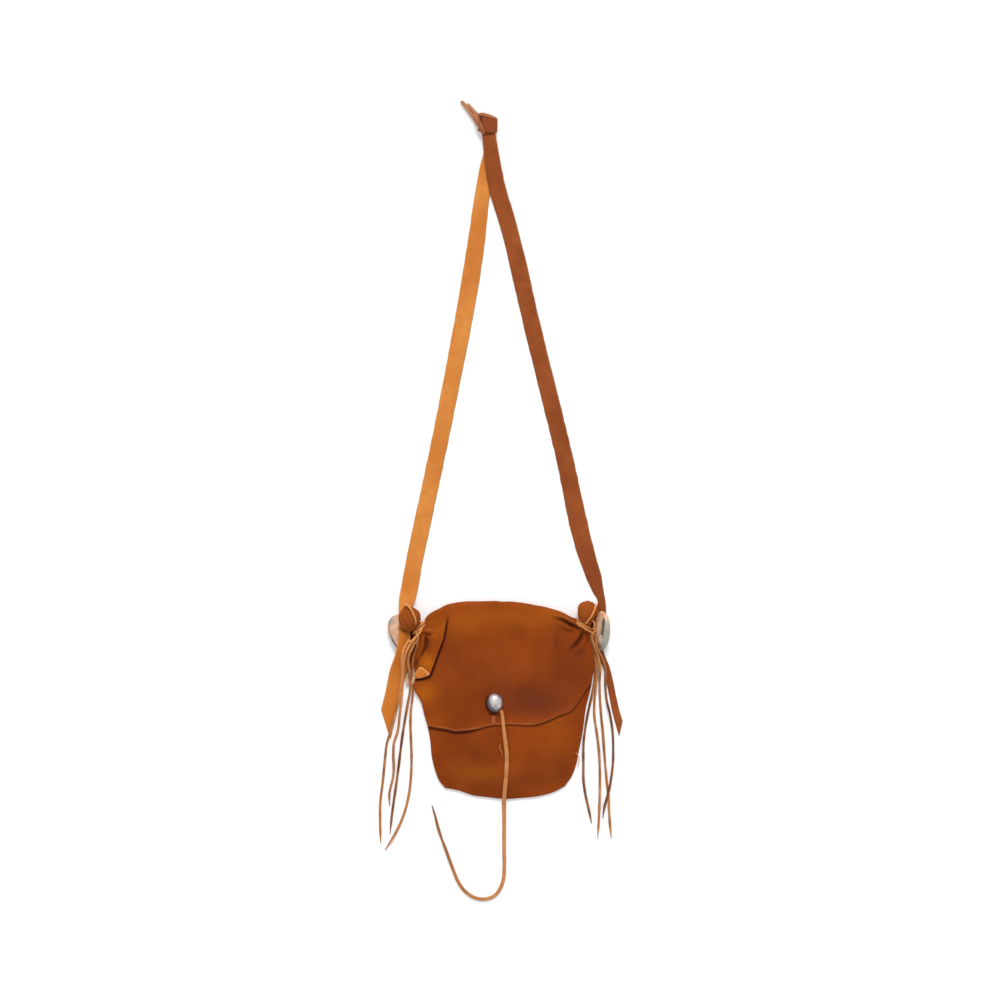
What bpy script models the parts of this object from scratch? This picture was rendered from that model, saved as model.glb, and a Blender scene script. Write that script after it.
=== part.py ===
"""Deerskin bag, lying on its back: metres, +Z up, the strap's knot towards +Y."""
import math

import bmesh
import bpy
import numpy as np

mm = 0.001

# Hide and pouch
leather = 1.6 * mm          # thickness of the soft hide
clearance = 0.3 * mm        # room left between pieces that touch
bag_width = 197 * mm        # widest, across the two sides
bag_height = 217 * mm       # from the bottom seam to the top fold
pouch_depth = 12 * mm       # room inside the pouch at its fullest
fold_depth = 10 * mm        # room inside the top fold
fold_reach = 7 * mm         # how far the top fold rounds out
seam_rise = 26 * mm         # how soon the front panel swells above its seam
mouth_drop = 60 * mm        # from the top fold down to the pouch's mouth
gather_height = 2.4 * mm    # height of the gathers that run out from each tie
gather_length = 34 * mm     # how far they run
gather_count = 13           # gathers in a full turn round a tie
lapel_lift = 2.2 * mm       # how far the lapel's free edges stand off the flap
lapel_swell = 1.6 * mm      # fullness of the lapel's middle
hem_turn = 0.9 * mm         # how far the turned-up hem piece stands off the lapel

# Laces and ties
lace_diameter = 2.8 * mm
neck_radius = 3.6 * mm      # the gathered hide inside a tie
tie_turns = 2
tie_height = 8.5 * mm       # middle of the ties above the back's face

# Straps
strap_width = 18.5 * mm
strap_leather = 1.8 * mm
strap_drop = 556 * mm       # from the left tie up to the knot
knot_width = 20 * mm
knot_shift = 74 * mm        # the knot's place to the right of the left tie

# Ears above the ties
ear_width_left = 23 * mm
ear_thickness_left = 10.5 * mm
ear_width_right = 21 * mm
ear_thickness_right = 19 * mm

# Shells
shell_length = 46 * mm
shell_width = 23 * mm
shell_thickness = 12 * mm
slot_depth = 2.6 * mm
slot_turn = math.radians(52)     # where the left shell's slot lies, turned under its strap
shell_roll = math.radians(48)    # the right shell lies rolled to its side

# Button, its keeper and the closure thong
button_width = 20 * mm
button_length = 23 * mm
button_height = 8.5 * mm
shank_radius = 2.2 * mm
button_place = (-11.5 * mm, -1.5 * mm)
keeper_width = 5.5 * mm
keeper_reach = 23.5 * mm
keeper_leather = 1.2 * mm
thong_diameter = 4.2 * mm
slit_length = 8 * mm
slit_width = 4.5 * mm
slit_height = 1.6 * mm
slit_place = (-6.8 * mm, -55 * mm)

# Plan outlines, in millimetres from the middle of the back
bottom_line = ((-65, -96), (-50, -99), (-35, -104), (-20, -106), (2, -108), (17, -107), (36, -105),
               (54, -100), (65, -94))
left_side = ((-65, -96), (-71, -89), (-75, -79), (-79, -64), (-81, -45), (-84, -28), (-87, -18), (-92, 0),
             (-98, 10), (-99, 33), (-98.5, 46), (-97, 58))
right_side = ((65, -94), (72, -84), (77, -71), (80, -56), (84, -36), (88, -7), (93, 13), (96, 28), (97, 42),
              (95, 58))
fold_line = ((-97, 58), (-92, 64.5), (-86, 69.5), (-82.5, 76), (-80, 84), (-74, 92), (-61, 99), (-48, 102),
             (-25, 102.3), (0, 102), (15, 100.5), (30, 98), (51, 94), (64, 88.5), (72, 82.5), (76, 76.5),
             (81, 71), (89, 66), (95, 58))
flap_line = ((-84, -28), (-63, -31), (-54, -33), (-42, -32), (-29, -30), (-11, -26), (3, -27), (18, -28),
             (34, -26), (44, -23), (54, -18), (67, -12), (74, -8), (80, 0), (88, 11), (95, 21))
flap_left = ((-84, -28), (-87, -18), (-92, 0), (-98, 10), (-99, 33), (-98.5, 46), (-97, 58))
flap_right = ((95, 21), (96.5, 30), (97, 42), (95, 58))
lapel_free = ((-80, 29), (-76, 42), (-71, 55), (-67, 69), (-65, 82), (-63, 92))
lapel_side = ((-98, 24), (-98.4, 36), (-97, 50))
lapel_hem = ((-98, 24), (-90, 25), (-80, 29))
lapel_root = ((-97, 50), (-91, 61.5), (-83, 71.5), (-76, 84), (-63, 92))
hem_low = ((-96, 26.4), (-90, 27.2), (-83.5, 29.6))
hem_high = ((-96, 34), (-91.5, 36.2), (-85.4, 33.6))

# Routes of the laces and the thong, in millimetres
fringe_routes = {
    "fringe_left_1": ((-105, 67, 17), (-110.5, 57, 16.4), (-112.8, 46, 13.2), (-113, 31, 7.6),
                      (-115.5, 6.6, 4.2), (-120, -13, 3.9), (-125.4, -33, 3.9), (-130, -48, 2.2),
                      (-131.6, -61.6, 1.5), (-134.2, -88, 1.5), (-137.1, -113.3, 1.5),
                      (-137.3, -134.2, 1.5), (-136.6, -157.3, 1.5)),
    "fringe_left_2": ((-102, 65, 17), (-106.9, 55, 16), (-109.4, 44.5, 12.8), (-109.8, 29, 7),
                      (-111.9, 5.5, 4.2), (-114.6, -13.2, 4.2), (-118.6, -36.3, 2.2),
                      (-121.9, -46.2, 1.5), (-122.8, -58.9, 1.5), (-122.3, -75.4, 1.5),
                      (-123, -84, 1.5), (-124.9, -92.4, 1.5), (-126.9, -101.2, 1.5),
                      (-126.9, -116.1, 1.5)),
    "fringe_left_3": ((-99, 63, 16), (-103.3, 53.4, 15.6), (-105.4, 43, 12.4), (-105.4, 28.6, 7.2),
                      (-105.2, 11, 1.9), (-107, -4.4, 1.5), (-110.4, -24.2, 1.5), (-112.8, -39.6, 1.5),
                      (-114.8, -55, 1.5), (-117.2, -74.8, 1.5), (-119.5, -92.4, 1.5),
                      (-122.1, -110, 1.5), (-124.2, -125.4, 1.5), (-125.6, -138.6, 1.5),
                      (-126.4, -147, 1.5)),
    "fringe_left_4": ((-96.3, 61.4, 12), (-100, 51, 8.4), (-102.6, 40, 5), (-102.9, 26.4, 2.4),
                      (-101.9, 5.5, 1.5), (-103.4, -11, 1.5), (-103.9, -28.6, 1.5),
                      (-103.3, -45.1, 1.5), (-102.7, -63.8, 1.5), (-103.4, -84.7, 1.5),
                      (-105.6, -103.4, 1.5), (-110.4, -123.2, 1.5), (-116.6, -138.6, 2.2),
                      (-124.3, -152.9, 3), (-132, -165, 1.5)),
    "fringe_right_1": ((94, 68.6, 9.5), (97.2, 58, 6), (100, 42, 2.6), (98.9, 20, 1.5), (95.5, 3, 1.5),
                       (91.4, -13.2, 1.5), (88.3, -30.8, 1.5), (86.4, -47.3, 1.5),
                       (86.2, -68.2, 1.5), (86.4, -89.1, 1.5), (88.6, -104.5, 1.5),
                       (92.1, -119.9, 1.5), (95.3, -135.3, 1.5)),
    "fringe_right_2": ((97.2, 68, 9.5), (100.2, 57, 6.4), (103.3, 42, 2.6), (102.2, 20, 1.5),
                       (98.8, 0, 1.5), (98.3, -17.6, 1.5), (100.8, -35.2, 1.5), (103, -52.8, 1.5),
                       (104.1, -70.4, 1.5), (104.3, -93.5, 1.5), (103.8, -115.5, 1.5),
                       (103, -134.2, 1.5), (101.9, -151.8, 1.5)),
    "fringe_right_3": ((95.8, 66.8, 12.5), (99.4, 56.5, 9.6), (104, 46, 7.6), (106.7, 36, 4.6),
                       (105.6, 19.8, 1.6), (104.5, 0, 1.5), (105.8, -17.6, 1.5),
                       (107.6, -35.2, 1.5), (109.2, -57.2, 1.5), (110.6, -74.8, 1.5),
                       (112.2, -92.4, 1.5), (114, -107.8, 1.5), (114.6, -123.2, 1.5),
                       (115.7, -138.6, 1.5), (117, -151.8, 1.5)),
    "fringe_right_4": ((99, 67, 12.5), (101.8, 56.4, 11.4), (107, 47.4, 9.4), (110.6, 37, 6.2),
                       (110.4, 17.6, 4.8), (111.8, 0, 4.4), (115.3, -15.4, 3.8), (118.1, -33, 2),
                       (119, -52.8, 1.5), (118.6, -70.4, 1.7), (116.9, -84, 3.4), (114.6, -97, 4.8),
                       (111.6, -108, 4.6), (109.4, -117, 2.4), (107.6, -129.8, 1.5)),
}
thong_route = ((-3.6, -12.1, 19.6), (-2.4, -21, 19.5), (-1.6, -29, 19.4), (-0.4, -38.5, 17.6),
               (1.6, -56.1, 16.4), (1.4, -79.2, 14.1), (-0.1, -96, 10.5), (-0.9, -107, 6.6), (-1, -118, 3.4),
               (-0.9, -132, 2.2), (-1, -162.8, 2.2), (-0.8, -183.7, 2.2), (-1.6, -196, 2.2), (-4.6, -205.7, 2.2),
               (-9.8, -213.4, 2.2), (-16.8, -217.6, 2.2), (-24.9, -218.8, 2.2), (-33.2, -217.2, 2.2),
               (-40.3, -213.2, 2.2), (-46.4, -207.4, 2.2), (-51.7, -199.1, 2.2), (-56.6, -187.6, 2.2),
               (-61.3, -174.9, 2.2), (-65.4, -163.5, 2.2), (-69.9, -151.5, 2.2), (-73.7, -139.7, 2.2),
               (-77, -126.4, 2.2), (-80.4, -115.5, 2.2))


def clear_scene():
    for item in list(bpy.data.objects):
        bpy.data.objects.remove(item, do_unlink=True)


def finish_material(name, color, roughness, metallic=0.0):
    material = bpy.data.materials.get(name) or bpy.data.materials.new(name)
    material.use_nodes = True
    shader = material.node_tree.nodes["Principled BSDF"]
    shader.inputs["Base Color"].default_value = (*color, 1.0)
    shader.inputs["Roughness"].default_value = roughness
    shader.inputs["Metallic"].default_value = metallic
    return material


def grain_leather():
    return finish_material("brown_grain_leather", (0.25, 0.05, 0.01), 0.75)


def flesh_leather():
    return finish_material("tan_flesh_leather", (0.66, 0.23, 0.04), 0.85)


def dark_strap_leather():
    return finish_material("dark_strap_leather", (0.27, 0.07, 0.03), 0.7)


def lace_leather():
    return finish_material("lace_leather", (0.5, 0.2, 0.07), 0.75)


def shell_material():
    return finish_material("sea_shell", (0.7, 0.52, 0.42), 0.35)


def button_metal():
    return finish_material("cast_silver_metal", (0.6, 0.57, 0.56), 0.3, 1.0)


def smooth_value(places, values, wanted, level=False):
    """Cubic curve through the pairs of places and values; a level one never passes a high or a low."""
    order = np.argsort(places)
    x = np.asarray(places, float)[order]
    y = np.asarray(values, float)[order]
    slope = np.gradient(y, x)
    if level:
        rate = np.diff(y) / np.diff(x)
        before = np.append(rate[:1], rate)
        after = np.append(rate, rate[-1:])
        limit = 2 * np.minimum(np.abs(before), np.abs(after))
        slope = np.where(before * after > 0, np.clip(slope, -limit, limit), 0)
    w = np.clip(wanted, x[0], x[-1])
    i = np.clip(np.searchsorted(x, w) - 1, 0, len(x) - 2)
    step = x[i + 1] - x[i]
    t = (w - x[i]) / step
    rise = y[i] * (1 + 2 * t) * (1 - t) ** 2 + y[i + 1] * t * t * (3 - 2 * t)
    return rise + step * (slope[i] * t * (1 - t) ** 2 - slope[i + 1] * t * t * (1 - t))


def through(points, shares):
    """Points on one smooth curve through the given ones, at shares 0 to 1 of its length."""
    points = np.asarray(points, float)
    chord = np.concatenate([[0], np.cumsum(np.linalg.norm(np.diff(points, axis=0), axis=1))])
    wanted = np.asarray(shares) * chord[-1]
    return np.column_stack([smooth_value(chord, column, wanted, axis == 2)
                            for axis, column in enumerate(points.T)])


def ease(x):
    x = np.clip(x, 0, 1)
    return x * x * (3 - 2 * x)


# The outlines are drawn once and stretched to the bag's named width and height
drawn_left = min(x for x, y in left_side)
drawn_right = max(x for x, y in right_side)
drawn_bottom = min(y for x, y in bottom_line)
drawn_top = max(y for x, y in fold_line)
stretch = np.array([bag_width / (drawn_right - drawn_left),
                    (bag_height - fold_reach) / (drawn_top - drawn_bottom)])


def outline(points):
    return np.asarray(points, float) * stretch


left_tie = outline([(-92.5, 77)])[0]
right_tie = outline([(85, 83.5)])[0]
knot_place = left_tie + np.array([knot_shift, strap_drop])
mouth_line = float(outline([(0, drawn_top)])[0, 1]) + fold_reach - mouth_drop


def room(x, y):
    """Height of the room inside the bag: full in the middle, nothing at the side and bottom seams."""
    left = smooth_value(outline(left_side)[:, 1], outline(left_side)[:, 0], y)
    right = smooth_value(outline(right_side)[:, 1], outline(right_side)[:, 0], y)
    bottom = smooth_value(outline(bottom_line)[:, 0], outline(bottom_line)[:, 1], x)
    across = np.clip(np.abs((2 * x - left - right) / (right - left)), 0, 1)
    rise = 1 - np.exp(-np.clip(y - bottom, 0, None) / seam_rise)
    depth = pouch_depth + (fold_depth - pouch_depth) * ease((y - 20 * mm) / (80 * mm))
    return depth * (1 - across ** 2.4) * rise


def gathers(x, y):
    """Ridges that run out from each tie and die away with distance."""
    total = np.zeros(np.shape(x))
    for tie, turn in ((left_tie, 0.4), (right_tie, 1.1)):
        away = np.hypot(x - tie[0], y - tie[1])
        angle = np.arctan2(y - tie[1], x - tie[0])
        ridge = 0.5 + 0.5 * np.cos(gather_count * angle + turn)
        total = total + gather_height * ridge * np.exp(-(away / gather_length) ** 2)
    return total


def flap_under(x, y):
    return 2 * leather + 2 * clearance + room(x, y) + gathers(x, y)


def flap_top(x, y):
    return flap_under(x, y) + leather


def pocket_top(x, y):
    return 2 * leather + clearance + room(x, y)


def patch(bottom, top, left, right, along, up):
    """Surface between four edge curves: the two ruled surfaces added, less their shared corners."""
    low = through(bottom, along)[None, :, :]
    high = through(top, along)[None, :, :]
    west = through(left, up)[:, None, :]
    east = through(right, up)[:, None, :]
    u = np.asarray(along)[None, :, None]
    v = np.asarray(up)[:, None, None]
    corners = ((1 - u) * (1 - v) * low[:, :1] + u * (1 - v) * low[:, -1:]
               + (1 - u) * v * high[:, :1] + u * v * high[:, -1:])
    return (1 - v) * low + v * high + (1 - u) * west + u * east - corners


def edge_dense(count, share=0.55):
    """Steps from 0 to 1 that lie closer together towards both ends."""
    even = np.linspace(0, 1, count)
    return (1 - share) * even + share * 0.5 * (1 - np.cos(math.pi * even))


def new_object(name, vertices, faces, material):
    mesh = bpy.data.meshes.new(name)
    mesh.from_pydata([tuple(map(float, v)) for v in vertices], [], faces)
    mesh.materials.append(material)
    made = bpy.data.objects.new(name, mesh)
    bpy.context.scene.collection.objects.link(made)
    work = bmesh.new()
    work.from_mesh(mesh)
    bmesh.ops.recalc_face_normals(work, faces=work.faces)
    work.to_mesh(mesh)
    work.free()
    mesh.shade_smooth()
    mesh.set_sharp_from_angle(angle=math.radians(50))
    return made


def two_sided(name, outer, inner, material):
    """Closed sheet between two grids of points of the same shape."""
    rows, columns = outer.shape[:2]
    number = np.arange(rows * columns).reshape(rows, columns)
    shift = rows * columns
    faces = []
    for r in range(rows - 1):
        for c in range(columns - 1):
            ring = [number[r, c], number[r, c + 1], number[r + 1, c + 1], number[r + 1, c]]
            faces.append([int(i) for i in ring])
            faces.append([int(i) + shift for i in reversed(ring)])
    rim = list(number[0]) + list(number[1:, -1]) + list(number[-1, -2::-1]) + list(number[-2:0:-1, 0])
    for here, there in zip(rim, rim[1:] + rim[:1]):
        faces.append([int(there), int(here), int(here) + shift, int(there) + shift])
    vertices = np.concatenate([outer.reshape(-1, 3), inner.reshape(-1, 3)])
    return new_object(name, vertices, faces, material)


def ring_body(name, rings, material):
    """Closed body through rings of points, with a flat or pointed end at each side."""
    count, sides = rings.shape[:2]
    vertices = list(rings.reshape(-1, 3))
    faces = []
    for r in range(count - 1):
        for s in range(sides):
            nxt = (s + 1) % sides
            faces.append([r * sides + s, r * sides + nxt, (r + 1) * sides + nxt, (r + 1) * sides + s])
    for row, ring in ((0, rings[0]), (count - 1, rings[-1])):
        vertices.append(ring.mean(axis=0))
        centre = len(vertices) - 1
        for s in range(sides):
            faces.append([row * sides + s, row * sides + (s + 1) % sides, centre])
    return new_object(name, vertices, faces, material)


def join_shapes(main, added):
    """Boolean union of a shape into the main one."""
    union = main.modifiers.new("union", "BOOLEAN")
    union.operation = "UNION"
    union.solver = "EXACT"
    union.object = added
    bpy.context.view_layer.update()
    baked = bpy.data.meshes.new_from_object(main.evaluated_get(bpy.context.evaluated_depsgraph_get()))
    main.modifiers.clear()
    main.data = baked
    bpy.data.objects.remove(added, do_unlink=True)
    baked.shade_smooth()
    baked.set_sharp_from_angle(angle=math.radians(50))
    return main


def lobe(name, spine, half_widths, half_heights, flutes, flute_share, material, stations=12, sides=18):
    """Closed body along a spine, oval in section, with flutes like those of gathered hide."""
    shares = np.linspace(0, 1, stations)
    centres = through(spine, shares)
    keys = np.concatenate([[0], np.cumsum(np.linalg.norm(np.diff(np.asarray(spine), axis=0), axis=1))])
    keys /= keys[-1]
    wide = smooth_value(keys, half_widths, shares)
    high = smooth_value(keys, half_heights, shares)
    tangent = np.gradient(centres, axis=0)
    tangent /= np.linalg.norm(tangent, axis=1)[:, None]
    side = np.cross(tangent, (0, 0, 1))
    side /= np.linalg.norm(side, axis=1)[:, None]
    up = np.cross(side, tangent)
    angle = np.linspace(0, 2 * math.pi, sides, endpoint=False)
    fullness = 1 - flute_share * (0.5 + 0.5 * np.cos(flutes * angle))
    across = wide[:, None] * (fullness * np.cos(angle))[None, :]
    upward = high[:, None] * (fullness * np.sin(angle))[None, :]
    rings = (centres[:, None, :] + across[:, :, None] * side[:, None, :]
             + upward[:, :, None] * up[:, None, :])
    return ring_body(name, rings, material)


def tube(name, centres, radius, material, sides=8):
    centres = np.asarray(centres)
    tangent = np.gradient(centres, axis=0)
    tangent /= np.linalg.norm(tangent, axis=1)[:, None]
    side = np.cross(tangent, (0.02, 0.01, 1))
    side /= np.linalg.norm(side, axis=1)[:, None]
    up = np.cross(side, tangent)
    angle = np.linspace(0, 2 * math.pi, sides, endpoint=False)
    rings = (centres[:, None, :] + radius * np.cos(angle)[None, :, None] * side[:, None, :]
             + radius * np.sin(angle)[None, :, None] * up[:, None, :])
    return ring_body(name, rings, material)


def ribbon(name, route, widths, width_ways, thickness, material, stations):
    """Flat strap: a rectangle carried along a smooth route, its width along the given ways."""
    shares = np.linspace(0, 1, stations)
    centres = through(route, shares)
    chord = np.concatenate([[0], np.cumsum(np.linalg.norm(np.diff(np.asarray(route), axis=0), axis=1))])
    keys = chord / chord[-1]
    half = smooth_value(keys, widths, shares) / 2
    ways = np.column_stack([smooth_value(keys, column, shares)
                            for column in np.asarray(width_ways, float).T])
    ways /= np.linalg.norm(ways, axis=1)[:, None]
    tangent = np.gradient(centres, axis=0)
    upward = np.cross(ways, tangent)
    upward /= np.linalg.norm(upward, axis=1)[:, None]
    lift = upward * thickness / 2
    spread = ways * half[:, None]
    rings = np.stack([centres - spread - lift, centres + spread - lift,
                      centres + spread + lift, centres - spread + lift], axis=1)
    return ring_body(name, rings, material)


def plan_ways(route):
    """Level directions square to the route, for a strap that lies flat."""
    tangent = np.gradient(np.asarray(route, float), axis=0)
    ways = np.column_stack([tangent[:, 1], -tangent[:, 0], np.zeros(len(tangent))])
    return ways / np.linalg.norm(ways, axis=1)[:, None]


def lift_points(plan, height):
    return np.dstack([plan, height]) if plan.ndim == 3 else np.column_stack([plan, height])


def make_back_and_flap():
    """One hide: flat back, rounded top fold, and the flap that lies over the front panel."""
    along = edge_dense(25)
    fold_start = outline(fold_line)
    back = patch(outline(bottom_line), fold_start, outline(left_side), outline(right_side), along,
                 np.linspace(0, 1, 7))
    flap = patch(outline(flap_line), fold_start, outline(flap_left), outline(flap_right), along,
                 np.linspace(0, 1, 16) ** 0.85)
    flap = flap[::-1]
    zero = np.zeros(back.shape[:2])
    back_outer = lift_points(back, zero)
    back_inner = lift_points(back, zero + leather)
    flap_outer = lift_points(flap, flap_top(flap[..., 0], flap[..., 1]))
    flap_inner = lift_points(flap, flap_under(flap[..., 0], flap[..., 1]))
    start = back[-1]
    height = flap_top(start[:, 0], start[:, 1])
    reach = fold_reach * (0.35 + 0.65 * np.sqrt(np.sin(math.pi * along)))
    turns = np.linspace(-math.pi / 2, math.pi / 2, 8)[1:-1]
    fold_outer = []
    fold_inner = []
    for turn in turns:
        for rows, out, half in ((fold_outer, reach, height / 2),
                                (fold_inner, reach - leather, height / 2 - leather)):
            rows.append(np.column_stack([start[:, 0], start[:, 1] + out * math.cos(turn),
                                         height / 2 + half * math.sin(turn)]))
    outer = np.concatenate([back_outer, np.array(fold_outer), flap_outer])
    inner = np.concatenate([back_inner, np.array(fold_inner), flap_inner])
    hide = two_sided("back_and_flap", outer, inner, grain_leather())
    join_shapes(hide, make_lapel())
    join_shapes(hide, make_ear("left"))
    join_shapes(hide, make_ear("right"))
    return hide


def make_lapel():
    """The hide's left margin, laid over the flap: loose below, sunk into the flap at its root."""
    along = np.linspace(0, 1, 9)
    up = np.linspace(0, 1, 10)
    plan = patch(outline(lapel_hem), outline(lapel_root), outline(lapel_side), outline(lapel_free), along, up)
    base = flap_top(plan[..., 0], plan[..., 1])
    root = ease((up - 0.75) / 0.25)[:, None]
    swell = lapel_swell * np.sin(math.pi * along)[None, :] * np.sin(math.pi * up)[:, None]
    free = np.maximum(ease((along - 0.6) / 0.4)[None, :], ease(1 - up / 0.3)[:, None])
    under = base + clearance + swell + lapel_lift * free * (1 - root) - root * (clearance + 0.9 * mm)
    lapel = two_sided("lapel", lift_points(plan, under + leather), lift_points(plan, under), grain_leather())
    return join_shapes(lapel, make_hem(lapel))


def make_hem(lapel):
    """Lower edge of the lapel, turned up and laid back on it."""
    along = np.linspace(0, 1, 6)
    up = np.linspace(0, 1, 5)
    low = outline(hem_low)
    high = outline(hem_high)
    plan = patch(low, high, (low[0], high[0]), (low[-1], high[-1]), along, up)
    level = flap_top(plan[..., 0], plan[..., 1]).max() + lapel_lift + 2 * leather
    base = np.array([[top_of(lapel, x, y, level) for x, y in row] for row in plan])
    rise = hem_turn * (0.4 + 0.6 * np.sin(math.pi * up))[:, None] + leather * 0.8
    return two_sided("hem", lift_points(plan, base + rise), lift_points(plan, base - leather / 2),
                     grain_leather())


def ear_spine(side):
    if side == "left":
        steps = ((11, -15, -1), (7, -9.5, -0.6), (4.2, -6, -0.3), (0, 0, 0), (-3.2, 4.2, 2),
                 (-7.5, 7.5, 11), (-10.8, 13, 13), (-13.5, 21.5, 13), (-15.2, 27.4, 12.5))
        tie = left_tie
    else:
        steps = ((-6.4, -17, -1), (-4, -11, -0.6), (-2, -5.3, -0.3), (0, 0, 0), (1.6, 4.6, 0.6),
                 (2.6, 7.4, 1.8), (4.4, 13.4, 2.6), (6.2, 20.4, 2.6), (7.4, 24.8, 2.5))
        tie = right_tie
    return [(tie[0] + x * mm, tie[1] + y * mm, tie_height + z * mm) for x, y, z in steps]


def make_ear(side):
    """The gathered corner: fanned out in the bag, drawn in at the tie, full above it."""
    if side == "left":
        wide = ear_width_left / 2
        high = ear_thickness_left / 2
    else:
        wide = ear_width_right / 2
        high = ear_thickness_right / 2
    half_widths = (9 * mm, 7 * mm, neck_radius, neck_radius, neck_radius, 0.8 * wide, wide, 0.8 * wide,
                   0.14 * wide)
    half_heights = (3 * mm, 4.6 * mm, neck_radius, neck_radius, neck_radius, 0.75 * high, high, 0.85 * high,
                    0.14 * high)
    return lobe("ear", ear_spine(side), half_widths, half_heights, 9, 0.16, grain_leather())


def make_front_pocket():
    """Front panel, sewn to the back at its sides and bottom and open at the top."""
    sides = []
    for side in (left_side, right_side):
        edge = outline(side)
        low = edge[edge[:, 1] < mouth_line - 6 * mm]
        x = smooth_value(edge[:, 1], edge[:, 0], mouth_line)
        sides.append(np.vstack([low, [(float(x), mouth_line)]]))
    mouth = np.array([sides[0][-1], (0, mouth_line - 5 * mm), sides[1][-1]])
    plan = patch(outline(bottom_line), mouth, sides[0], sides[1], edge_dense(19), np.linspace(0, 1, 12))
    top = pocket_top(plan[..., 0], plan[..., 1])
    return two_sided("front_pocket", lift_points(plan, top), lift_points(plan, top - leather),
                     grain_leather())


def make_tie(side):
    """Windings of lace round the neck, and the knot that holds them."""
    if side == "left":
        tie = left_tie
        knot = ((-0.8, 2, 6.8), (-5, -3.5, 7.4), (-8, -9, 6.8))
    else:
        tie = right_tie
        knot = ((1.5, 0.5, 6.4), (7, -4, 5.4), (11, -9, 3))
    centre = np.array([tie[0], tie[1], tie_height])
    spine = np.array(ear_spine(side))
    axis = spine[4] - spine[2]
    axis /= np.linalg.norm(axis)
    level = np.cross(axis, (0, 0, 1))
    level /= np.linalg.norm(level)
    upward = np.cross(level, axis)
    turn = np.linspace(0, 2 * math.pi * tie_turns, int(14 * tie_turns) + 1)
    reach = neck_radius + clearance + lace_diameter / 2
    pitch = lace_diameter + clearance
    drift = pitch * (turn / (2 * math.pi) - tie_turns / 2)
    coil = (centre + drift[:, None] * axis + reach * np.cos(turn)[:, None] * level
            + reach * np.sin(turn)[:, None] * upward)
    windings = tube("tie_" + side, coil, lace_diameter / 2, lace_leather())
    route = [centre + np.array(step) * mm for step in knot]
    girth = lace_diameter * 0.95
    blob = lobe("knot", route, (0.5 * girth, 1.15 * girth, 0.75 * girth), (0.5 * girth, girth, 0.6 * girth),
                5, 0.2, lace_leather(), 7, 16)
    return join_shapes(windings, blob)


def top_of(made, x, y, otherwise):
    """Height of the highest face of a piece above a place, or the given height where it has none."""
    hit, spot, _, _ = made.ray_cast((x, y, 1.0), (0, 0, -1))
    return spot[2] if hit else otherwise


def make_ear_laces(hide):
    """The thin end of lace that lies over each ear."""
    laid = {"left": ((-18, 27.4), (-13.5, 27), (-10, 22.5), (-6.8, 15.5), (-5.6, 9.5)),
            "right": ((13.4, 21), (11.4, 15.4), (8.6, 10.6), (5.8, 7))}
    radius = 0.45 * lace_diameter
    for side, steps in laid.items():
        tie = left_tie if side == "left" else right_tie
        plan = through([(tie[0] + x * mm, tie[1] + y * mm) for x, y in steps], np.linspace(0, 1, 12))
        heights = []
        for x, y in plan:
            around = [top_of(hide, x + dx * radius, y + dy * radius, tie_height)
                      for dx in (-1, 0, 1) for dy in (-1, 0, 1)]
            heights.append(max(around) + clearance + radius * 1.2)
        heights = np.maximum(heights, (np.roll(heights, 1) + np.roll(heights, -1)) / 2)
        tube("ear_lace_" + side, np.column_stack([plan, heights]), radius, lace_leather(), 6)


def shell(name, centre, heading, roll, slot_angle):
    """Egg-shaped shell with a full back, a flat base up and a slot along the base."""
    stations = 15
    sides = 20
    along = -np.cos(np.linspace(0.12, math.pi - 0.12, stations))
    angle = np.linspace(0, 2 * math.pi, sides, endpoint=False)
    girth = np.sqrt(1 - along ** 2) * (1 + 0.14 * along)
    fade = np.clip(1.1 - along ** 2, 0, 1)
    groove = np.exp(-((angle - slot_angle) / 0.2) ** 2)[None, :] * fade[:, None]
    up_share = np.where(np.sin(angle) > 0, 0.4, 0.6)
    across = girth[:, None] * (shell_width / 2 * np.cos(angle))[None, :]
    upward = girth[:, None] * (shell_thickness * up_share * np.sin(angle))[None, :] - slot_depth * groove
    length = along[:, None] * np.ones(sides)[None, :] * shell_length / 2
    across, upward = (across * math.cos(roll) - upward * math.sin(roll),
                      across * math.sin(roll) + upward * math.cos(roll))
    x = centre[0] + across * math.cos(heading) - length * math.sin(heading)
    y = centre[1] + across * math.sin(heading) + length * math.cos(heading)
    lowest = upward.min()
    return ring_body(name, np.dstack([x, y, centre[2] + upward - lowest]), shell_material())


def make_shells():
    beside = left_tie + np.array([-23.6, -3.5]) * mm
    shell("shell_left", (*beside, 0.0), math.radians(8), 0.0, slot_turn)
    beside = right_tie + np.array([22.6, -8]) * mm
    under = strap_leather + clearance
    shell("shell_right", (*beside, under), math.radians(4), shell_roll, math.pi / 2)


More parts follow.
